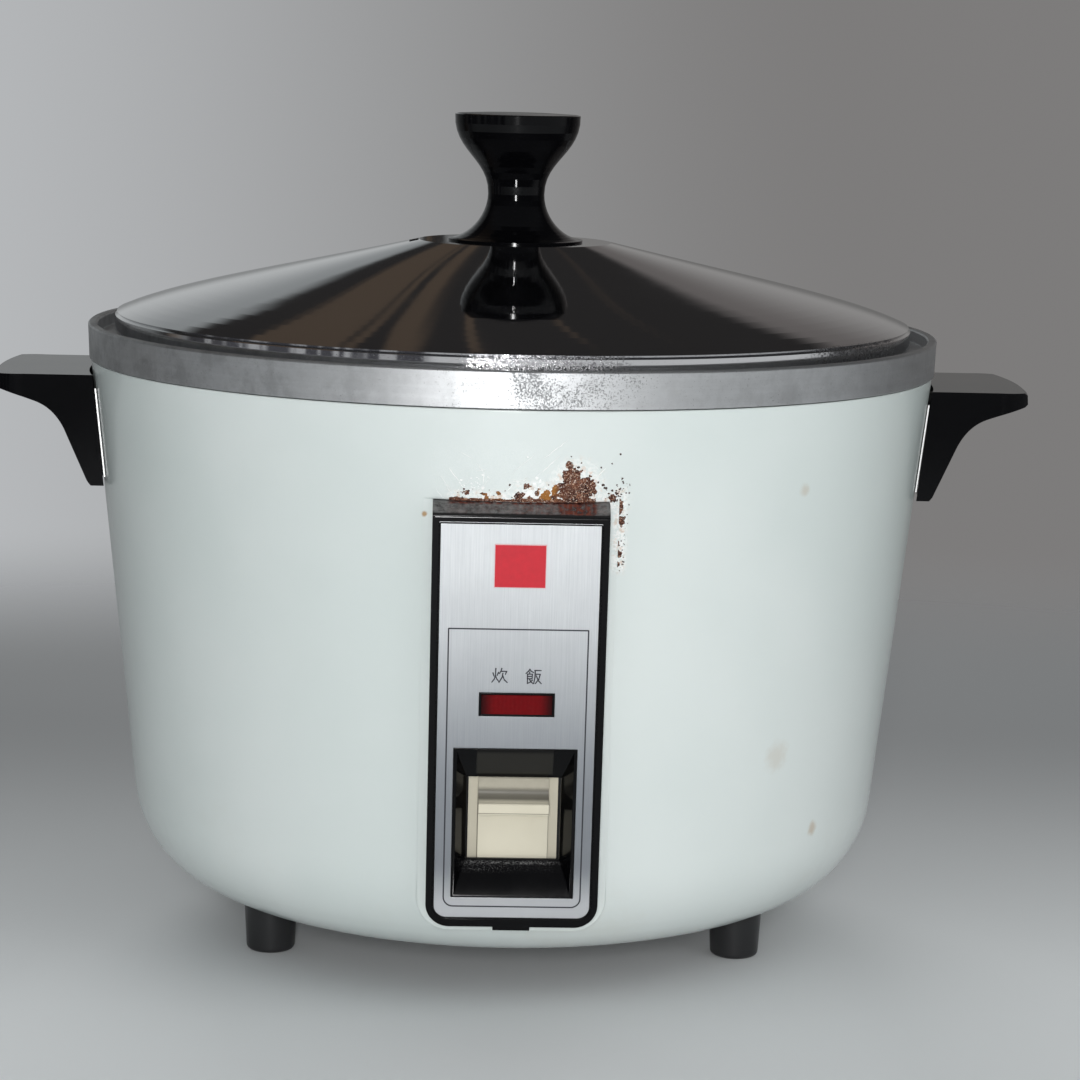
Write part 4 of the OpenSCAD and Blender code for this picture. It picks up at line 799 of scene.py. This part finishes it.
# The strip's reach in y, the heights where it starts, turns and runs below, and its two sides out of the wall
STRIP_Y, STRIP_TOP, STRIP_TURN, STRIP_FOOT = 0.03018, 0.179, 0.1525, 0.15075
STRIP_OUT = (0.00026, 0.00070)


def add_strip(name, side, material):
    """A U-shaped strip in the gap behind a handle: down its front edge, under it and up its rear edge."""
    path = [(-STRIP_Y, STRIP_TOP), (-STRIP_Y, STRIP_TURN)]
    path += [(STRIP_Y * math.sin(math.pi * t / 24), STRIP_FOOT) for t in range(-12, 13)]
    path += [(STRIP_Y, STRIP_TURN), (STRIP_Y, STRIP_TOP)]
    verts, faces = [], []
    for y, z in path:
        upright = abs(y) >= 0.0301 and z >= 0.16
        inner = (y * 0.93, z if upright else min(z + 0.0018, STRIP_TOP))
        for out in STRIP_OUT:
            for py, pz in ((y, z), inner):
                r = WALL_R + (pz - WALL_Z) * WALL_SLOPE + out
                verts.append((side * math.sqrt(r * r - py * py), py, pz))
    for i in range(len(path) - 1):
        a, b = 4 * i, 4 * i + 4
        faces += [(a, a + 1, b + 1, b), (a + 2, b + 2, b + 3, a + 3)]
        faces += [(a, b, b + 2, a + 2), (a + 1, a + 3, b + 3, b + 1)]
    last = 4 * (len(path) - 1)
    faces += [(0, 2, 3, 1), (last, last + 1, last + 3, last + 2)]
    add_mesh(name, verts, faces, material, "base")


BRIGHT = metal("bright_strip", (0.74, 0.74, 0.73), 0.42, (300, 300, 1200))
add_strip("left_handle_strip", -1, BRIGHT)
add_strip("right_handle_strip", 1, BRIGHT)

# ---------- wear on the shell ----------

# How deep crusts, rims of specks and sides of scratches sink into the wall, and how far a scratch stands
# out of it, in millimetres
CRUST_SINK, RIM_SINK, SIDE_SINK, RIDGE = 0.04, 0.015, 0.01, 0.03
MM = 0.001


def on_wall(x, z, out):
    """Point of the shell's front wall at x and z, moved outwards by out. Takes millimetres, gives metres."""
    x, z, out = x * MM, z * MM, out * MM
    r = WALL_R + (z - WALL_Z) * WALL_SLOPE
    y = -math.sqrt(r * r - x * x)
    way = Vector((x / r, y / r, -WALL_SLOPE)).normalized()
    return Vector((x, y, z)) + way * out


def add_crust(name, x_range, z_range, pitch, height, material):
    """A crust on the wall, in millimetres: a grid that sinks into it where height(x, z) isn't above 0."""
    nx, nz = int((x_range[1] - x_range[0]) / pitch), int((z_range[1] - z_range[0]) / pitch)
    level = {}
    for i in range(nx + 1):
        for k in range(nz + 1):
            x, z = x_range[0] + i * pitch, z_range[0] + k * pitch
            level[i, k] = (x, z, height(x, z))
    index, verts, faces = {}, [], []

    def vertex(key):
        if key not in index:
            x, z, h = level[key]
            index[key] = len(verts)
            verts.append(on_wall(x, z, max(h, -CRUST_SINK)))
        return index[key]

    for i in range(nx):
        for k in range(nz):
            corners = ((i, k), (i + 1, k), (i + 1, k + 1), (i, k + 1))
            if max(level[c][2] for c in corners) > 0:
                faces.append(tuple(vertex(c) for c in corners))
    add_mesh(name, verts, faces, material, "base", smooth=True)


def crack_noise(x, z, size, seed=0.0):
    """Rough noise on the wall, with features of about the given size."""
    return noise.fractal(Vector((x / size, z / size, seed)), 0.8, 2.1, 4)


# Middle, half width, half height and solidity of each rust scab above the panel, in millimetres
SCABS = (
    (15.6, 164.6, 5.9, 4.2, 1.0), (18.9, 165.0, 2.7, 3.4, 0.9), (14.0, 168.6, 3.0, 2.7, 0.9),
    (13.5, 171.6, 1.1, 1.7, 0.9), (12.2, 163.6, 1.6, 2.6, 0.8), (7.4, 162.7, 2.9, 1.7, 0.45),
    (9.4, 164.6, 1.3, 1.5, 0.35), (-0.9, 162.7, 1.5, 1.6, 0.45), (1.4, 165.4, 1.0, 0.9, 0.3),
    (4.6, 163.8, 0.9, 1.4, 0.5), (3.0, 162.0, 1.2, 0.8, 0.2), (-10.3, 162.3, 1.1, 0.9, 0.3),
    (-6.4, 163.3, 1.5, 0.9, 0.15), (-16.0, 163.4, 1.0, 1.1, 0.3), (-11.6, 162.9, 0.6, 0.4, 0.3),
    (26.0, 162.0, 2.2, 1.0, 0.4))

# The same beside the panel's upper right corner, and down its right side
SIDE_SCABS = (
    (28.3, 159.2, 0.9, 2.6, 0.7), (28.9, 155.6, 1.1, 1.6, 0.8), (28.0, 148.8, 0.7, 1.1, 1.0),
    (28.4, 145.6, 1.0, 1.2, 0.8), (28.2, 142.6, 0.7, 1.4, 0.4))


def solidity(scabs, x, z, gain=1.0):
    """How solid the rust is at x and z: 1 in the middle of a full scab, 0 at its edge and less outside it."""
    return max(gain * s * (1 - ((x - cx) / rx) ** 2 - ((z - cz) / rz) ** 2) for cx, cz, rx, rz, s in scabs)


def rust_above(x, z):
    """Height of the rust above the panel, with a thin line of it along the panel's upper edge."""
    solid = solidity(SCABS, x, z, 1.25)
    if -20.8 < x < 21.3:
        solid = max(solid, 0.9 * (1 - ((z - 161.2) / (0.55 if x < -2.5 else 0.95)) ** 2))
    rough = crack_noise(x, z, 1.5)
    h = solid + 0.8 * rough - 0.22
    return h * (0.30 + 0.12 * crack_noise(x, z, 0.5, 3.0)) if h > 0 else h


def rust_beside(x, z):
    """Height of the rust at the panel's right side."""
    solid = solidity(SIDE_SCABS, x, z)
    h = solid + 0.8 * crack_noise(x, z, 1.1, 7.0) - 0.15
    return h * 0.25 if h > 0 else h


def add_specks(name, spots, material, seed):
    """Small irregular scabs or chips on the wall: x, z, radius and height of each, in millimetres."""
    count = 7
    pick = random.Random(seed)
    verts, faces = [], []
    for x, z, radius, height in spots:
        start = len(verts)
        verts.append(on_wall(x, z, height))
        turn = pick.uniform(0, 6.28)
        for k in range(count):
            a = turn + 2 * math.pi * k / count
            r = radius * pick.uniform(0.55, 1.25)
            verts.append(on_wall(x + r * math.cos(a), z + 0.9 * r * math.sin(a), -RIM_SINK))
        faces += [(start, start + 1 + k, start + 1 + (k + 1) % count) for k in range(count)]
    add_mesh(name, verts, faces, material, "base")


def add_scratches(name, lines, material, seed):
    """Thin raised scratches on the wall: start, end, width and unsteadiness of each, in millimetres."""
    pick = random.Random(seed)
    verts, faces = [], []
    for (x0, z0), (x1, z1), width, sway in lines:
        length = math.hypot(x1 - x0, z1 - z0)
        steps = max(3, int(length / 0.5))
        across = (-(z1 - z0) / length, (x1 - x0) / length)
        start = len(verts)
        for i in range(steps + 1):
            t = i / steps
            off = sway * crack_noise(x0 + t * length, z0, 2.2, 11.0)
            half = width / 2 * math.sin(math.pi * min(max(t, 0.04), 0.96)) ** 0.5 * pick.uniform(0.5, 1.1)
            x, z = x0 + (x1 - x0) * t + across[0] * off, z0 + (z1 - z0) * t + across[1] * off
            verts += [
                on_wall(x - across[0] * half, z - across[1] * half, -SIDE_SINK), on_wall(x, z, RIDGE),
                on_wall(x + across[0] * half, z + across[1] * half, -SIDE_SINK)]
        for i in range(steps):
            a = start + 3 * i
            faces += [(a, a + 1, a + 4, a + 3), (a + 1, a + 2, a + 5, a + 4)]
    add_mesh(name, verts, faces, material, "base")


def spread_spots(count, seed, x_range, z_range, sizes, height, pull=None):
    """Seeded spots in a box, drawn towards the point pull where it is given."""
    pick = random.Random(seed)
    spots = []
    for _ in range(count):
        x, z = pick.uniform(*x_range), pick.uniform(*z_range)
        if pull:
            k = pick.uniform(0.0, 0.85)
            x, z = x + (pull[0] - x) * k, z + (pull[1] - z) * k
        spots.append((x, z, pick.uniform(*sizes), height))
    return spots


RUST = rusty("rust")
DARK_RUST = printed("dark_rust", (0.055, 0.03, 0.024), 0.8)
CHIP_WHITE = printed("chip_white", (0.86, 0.87, 0.86), 0.35)
add_crust("rust_above_panel", (-22.0, 29.0), (160.9, 174.4), 0.22, rust_above, RUST)
add_crust("rust_beside_panel", (28.25, 31.0), (139.5, 163.0), 0.2, rust_beside, RUST)

# Rust flecks and bare chips (x, z, radius, height) and scratches (start, end, width, sway), in millimetres
FLECKS = [
    (22.6, 171.2, 0.32, 0.12), (25.7, 172.3, 0.34, 0.12), (28.2, 175.1, 0.36, 0.12),
    (28.9, 167.9, 0.38, 0.12), (21.9, 166.8, 0.4, 0.12), (23.3, 166.0, 0.5, 0.14),
    (24.3, 165.1, 0.45, 0.12), (-3.5, 165.8, 0.4, 0.12), (-16.6, 164.3, 0.4, 0.12),
    (-15.2, 163.8, 0.45, 0.12), (-20.2, 161.3, 0.6, 0.15), (13.9, 174.4, 0.25, 0.1),
    (16.9, 172.5, 0.3, 0.1), (15.9, 171.2, 0.5, 0.14), (7.6, 166.0, 0.25, 0.08)]
CHIPS = [
    (5.2, 167.0, 0.7, 0.05), (4.3, 168.0, 0.5, 0.05), (3.6, 166.3, 0.55, 0.05), (5.9, 166.2, 0.5, 0.05),
    (1.2, 162.9, 0.8, 0.05), (2.2, 163.6, 0.9, 0.05), (3.1, 162.9, 0.8, 0.05), (10.0, 162.2, 0.8, 0.05),
    (1.4, 174.1, 0.35, 0.04), (-1.4, 166.9, 0.5, 0.04), (-11.4, 168.5, 0.35, 0.04),
    (-11.2, 164.8, 0.5, 0.04), (-17.5, 166.9, 0.4, 0.04)]
SCRATCHES = [
    ((-21.0, 170.2), (-17.9, 166.4), 0.34, 0.2), ((-18.6, 175.5), (-14.0, 173.4), 0.16, 0.4),
    ((6.2, 173.9), (12.9, 179.3), 0.26, 0.3), ((3.7, 168.0), (10.7, 174.7), 0.3, 0.2),
    ((-3.1, 169.3), (3.8, 175.2), 0.16, 0.4), ((-2.6, 166.9), (-0.1, 167.1), 0.34, 0.2),
    ((-0.1, 167.0), (1.5, 168.2), 0.18, 0.3), ((21.6, 168.5), (24.0, 170.9), 0.3, 0.2),
    ((-24.0, 168.3), (-20.4, 164.3), 0.14, 0.5), ((-25.0, 164.0), (-22.0, 161.3), 0.14, 0.5),
    ((-17.9, 166.4), (-16.4, 164.2), 0.2, 0.4), ((-13.2, 172.2), (-11.0, 169.0), 0.16, 0.5),
    ((-11.0, 169.4), (-11.2, 166.0), 0.3, 0.3), ((-14.0, 169.6), (-9.6, 170.4), 0.12, 0.4),
    ((-4.5, 163.4), (-2.2, 166.4), 0.2, 0.4), ((-19.2, 163.0), (-14.6, 167.8), 0.12, 0.6),
    ((-12.7, 163.6), (-9.2, 167.6), 0.14, 0.6), ((-22.4, 166.0), (-19.4, 162.0), 0.12, 0.6)]

# The smaller ones between these are spread by seed
add_specks(
    "rust_flecks",
    FLECKS + spread_spots(34, 3, (22.0, 29.8), (160.8, 167.5), (0.14, 0.42), 0.1, (27.6, 161.5))
    + spread_spots(22, 5, (28.5, 31.2), (151.0, 168.0), (0.12, 0.36), 0.1)
    + spread_spots(16, 6, (28.4, 30.6), (140.5, 150.0), (0.1, 0.3), 0.08)
    + spread_spots(20, 8, (-20.0, 6.0), (161.0, 164.5), (0.1, 0.28), 0.08),
    DARK_RUST, 21)
add_specks(
    "bare_chips",
    CHIPS + spread_spots(46, 13, (-19.0, -8.0), (161.5, 170.5), (0.08, 0.26), 0.03, (-13.0, 164.5))
    + spread_spots(30, 14, (-2.0, 10.5), (161.3, 167.5), (0.12, 0.42), 0.04, (3.2, 164.0))
    + spread_spots(18, 15, (27.8, 29.8), (141.0, 160.0), (0.15, 0.4), 0.04),
    CHIP_WHITE, 22)
add_scratches("scratches", SCRATCHES, CHIP_WHITE, 23)

# ---------- stage ----------


def add_floor():
    """A pale floor that fades out far from the object, where the plain background takes over."""
    material = bpy.data.materials.new("floor")
    m = Tree(material)
    at = m.place()
    x, y, _ = m.parts(at)
    spread = m.vector("LENGTH", m.xyz(m.times(x, 0.9), m.times(m.plus(y, 0.6), 0.8), 0.0))
    tone = m.mix(m.noise(at, 3, 3), (0.70, 0.72, 0.728), (0.76, 0.775, 0.78))
    # Painted shade: the floor darkens towards the back, standing in for the shade behind the object
    tone = m.mix(m.step(y, -0.15, 0.3), tone, (0.31, 0.315, 0.32))
    surface = m.add("BsdfPrincipled", {"Base Color": tone, "Roughness": 0.6, "Specular IOR Level": 0.3})
    clear = m.add("BsdfTransparent")
    mixed = m.add("MixShader", {0: m.step(spread, 0.8, 1.15), 1: surface.outputs[0], 2: clear.outputs[0]})
    m.add("OutputMaterial", {"Surface": mixed.outputs[0]})
    radius, rings, spokes = 2.4, 16, 64
    verts = [(0, 0, 0)]
    for i in range(rings):
        r = radius * (i + 1) / rings
        for k in range(spokes):
            a = 2 * math.pi * k / spokes
            verts.append((r * math.cos(a), r * math.sin(a), 0))
    faces = [(0, 1 + k, 1 + (k + 1) % spokes) for k in range(spokes)]
    for i in range(rings - 1):
        for k in range(spokes):
            a, b = 1 + i * spokes, 1 + (i + 1) * spokes
            faces.append((a + k, b + k, b + (k + 1) % spokes, a + (k + 1) % spokes))
    mesh = bpy.data.meshes.new("floor")
    mesh.from_pydata(verts, [], faces)
    mesh.materials.append(material)
    floor = new_object("floor", mesh)


def add_world():
    """Soft even light, a grey wall for the camera with painted light that is pale at the left and dark at the
    right, and a plain room for what is glossy.
    """
    world = bpy.data.worlds.new("studio")
    bpy.context.scene.world = world
    m = Tree(world)
    x, y, z = m.parts(m.add("TexCoord").outputs["Generated"])
    # Painted light on the wall: pale at the left, dark at the right
    wall = m.mix(m.step(m.plus(x, m.times(z, 0.1)), -0.22, 0.14), (0.49, 0.505, 0.52), (0.205, 0.20, 0.198))
    ambient = m.mix(m.step(x, -1.0, 0.0), (0.23, 0.24, 0.25), (0.41, 0.425, 0.43))
    # In front: pale walls low down, dark things in front of the object at both sides, and a dark ceiling
    turn = m.math("ARCTAN2", x, m.times(y, -1.0))
    things = m.most(m.window(turn, -1.85, -0.42, 0.05), m.window(turn, 1.75, 2.9, 0.08))
    broken = m.step(m.noise(m.xyz(m.times(turn, 7.0), 0.0, 3.1), 1.0, 2, 0.6), 0.44, 0.50, 0.35, 0.95)
    front_wall = m.mix(m.times(things, broken), (0.50, 0.51, 0.52), (0.035, 0.035, 0.043))
    bend = m.times(m.minus(m.noise(m.xyz(turn, 2.0, 0.0), 2.0, 2), 0.5), 0.04)
    over = m.minus(m.plus(z, bend), 0.03)
    ceiling = m.mix(m.step(z, 0.2, 0.5), (0.030, 0.031, 0.034), (0.15, 0.155, 0.16))
    front_room = m.mix(m.step(over, -0.012, 0.012), front_wall, ceiling)
    # Behind: pale sides, and between them a dark ceiling with brown streaks that run away from the object
    lean_over = m.math("ARCTAN2", x, m.minus(1.0, y))
    left_wall = m.mix(m.step(lean_over, -1.1, -1.5), (0.25, 0.265, 0.27), (0.47, 0.485, 0.49))
    right_wall = m.mix(m.step(lean_over, 1.1, 1.5), (0.13, 0.12, 0.117), (0.28, 0.275, 0.27))
    back_wall = m.mix(m.step(x, -0.03, 0.05), left_wall, right_wall)
    back_wall = m.mix(m.step(z, 0.14, 0.02, 0.0, 0.5), back_wall, (0.03, 0.03, 0.03))
    streak = m.noise(m.xyz(m.times(lean_over, 4.2), m.times(z, 0.6), 4.2), 1.0, 2, 0.5, 0.8)
    brown = m.mix(m.step(streak, 0.51, 0.60), (0.021, 0.020, 0.020), (0.066, 0.050, 0.038))
    wobble = m.times(m.minus(m.noise(m.xyz(lean_over, m.times(z, 6.0), 0.0), 1.5, 2), 0.5), 0.2)
    sideways = m.plus(m.absolute(lean_over), wobble)
    back_room = m.mix(m.step(sideways, 0.98, 1.11), brown, back_wall)
    room = m.mix(m.step(y, -0.1, 0.5), front_room, back_room)
    path = m.add("LightPath").outputs
    colour = m.mix(m.most(path["Is Glossy Ray"], path["Is Transmission Ray"]), ambient, room)
    colour = m.mix(path["Is Camera Ray"], colour, wall)
    background = m.add("Background", {"Color": colour, "Strength": 1.0})
    m.add("OutputWorld", {"Surface": background.outputs[0]})


def add_area(name, at, towards, size, power, glossy=True):
    """A white rectangular lamp, in metres and watts."""
    data = bpy.data.lights.new(name, "AREA")
    data.shape = "RECTANGLE"
    data.size, data.size_y = size
    data.energy = power
    light = new_object(name, data)
    light.location = at
    light.rotation_mode = "QUATERNION"
    light.rotation_quaternion = (Vector(towards) - Vector(at)).to_track_quat("-Z", "Y")
    light.visible_glossy = glossy


add_floor()
add_world()
add_area("key", (-0.05, -1.2, 0.33), towards=(0, 0, 0.12), size=(0.085, 0.27), power=7.0)
add_area("fill", (1.1, -0.8, 0.9), towards=(0, 0, 0.1), size=(0.8, 0.8), power=2.9, glossy=False)
add_area("rear", (-0.3, 1.8, 0.9), towards=(0, 0, 0.1), size=(1.0, 0.8), power=13.0, glossy=False)

bpy.context.scene.view_settings.view_transform = "Standard"

bpy.context.view_layer.update()
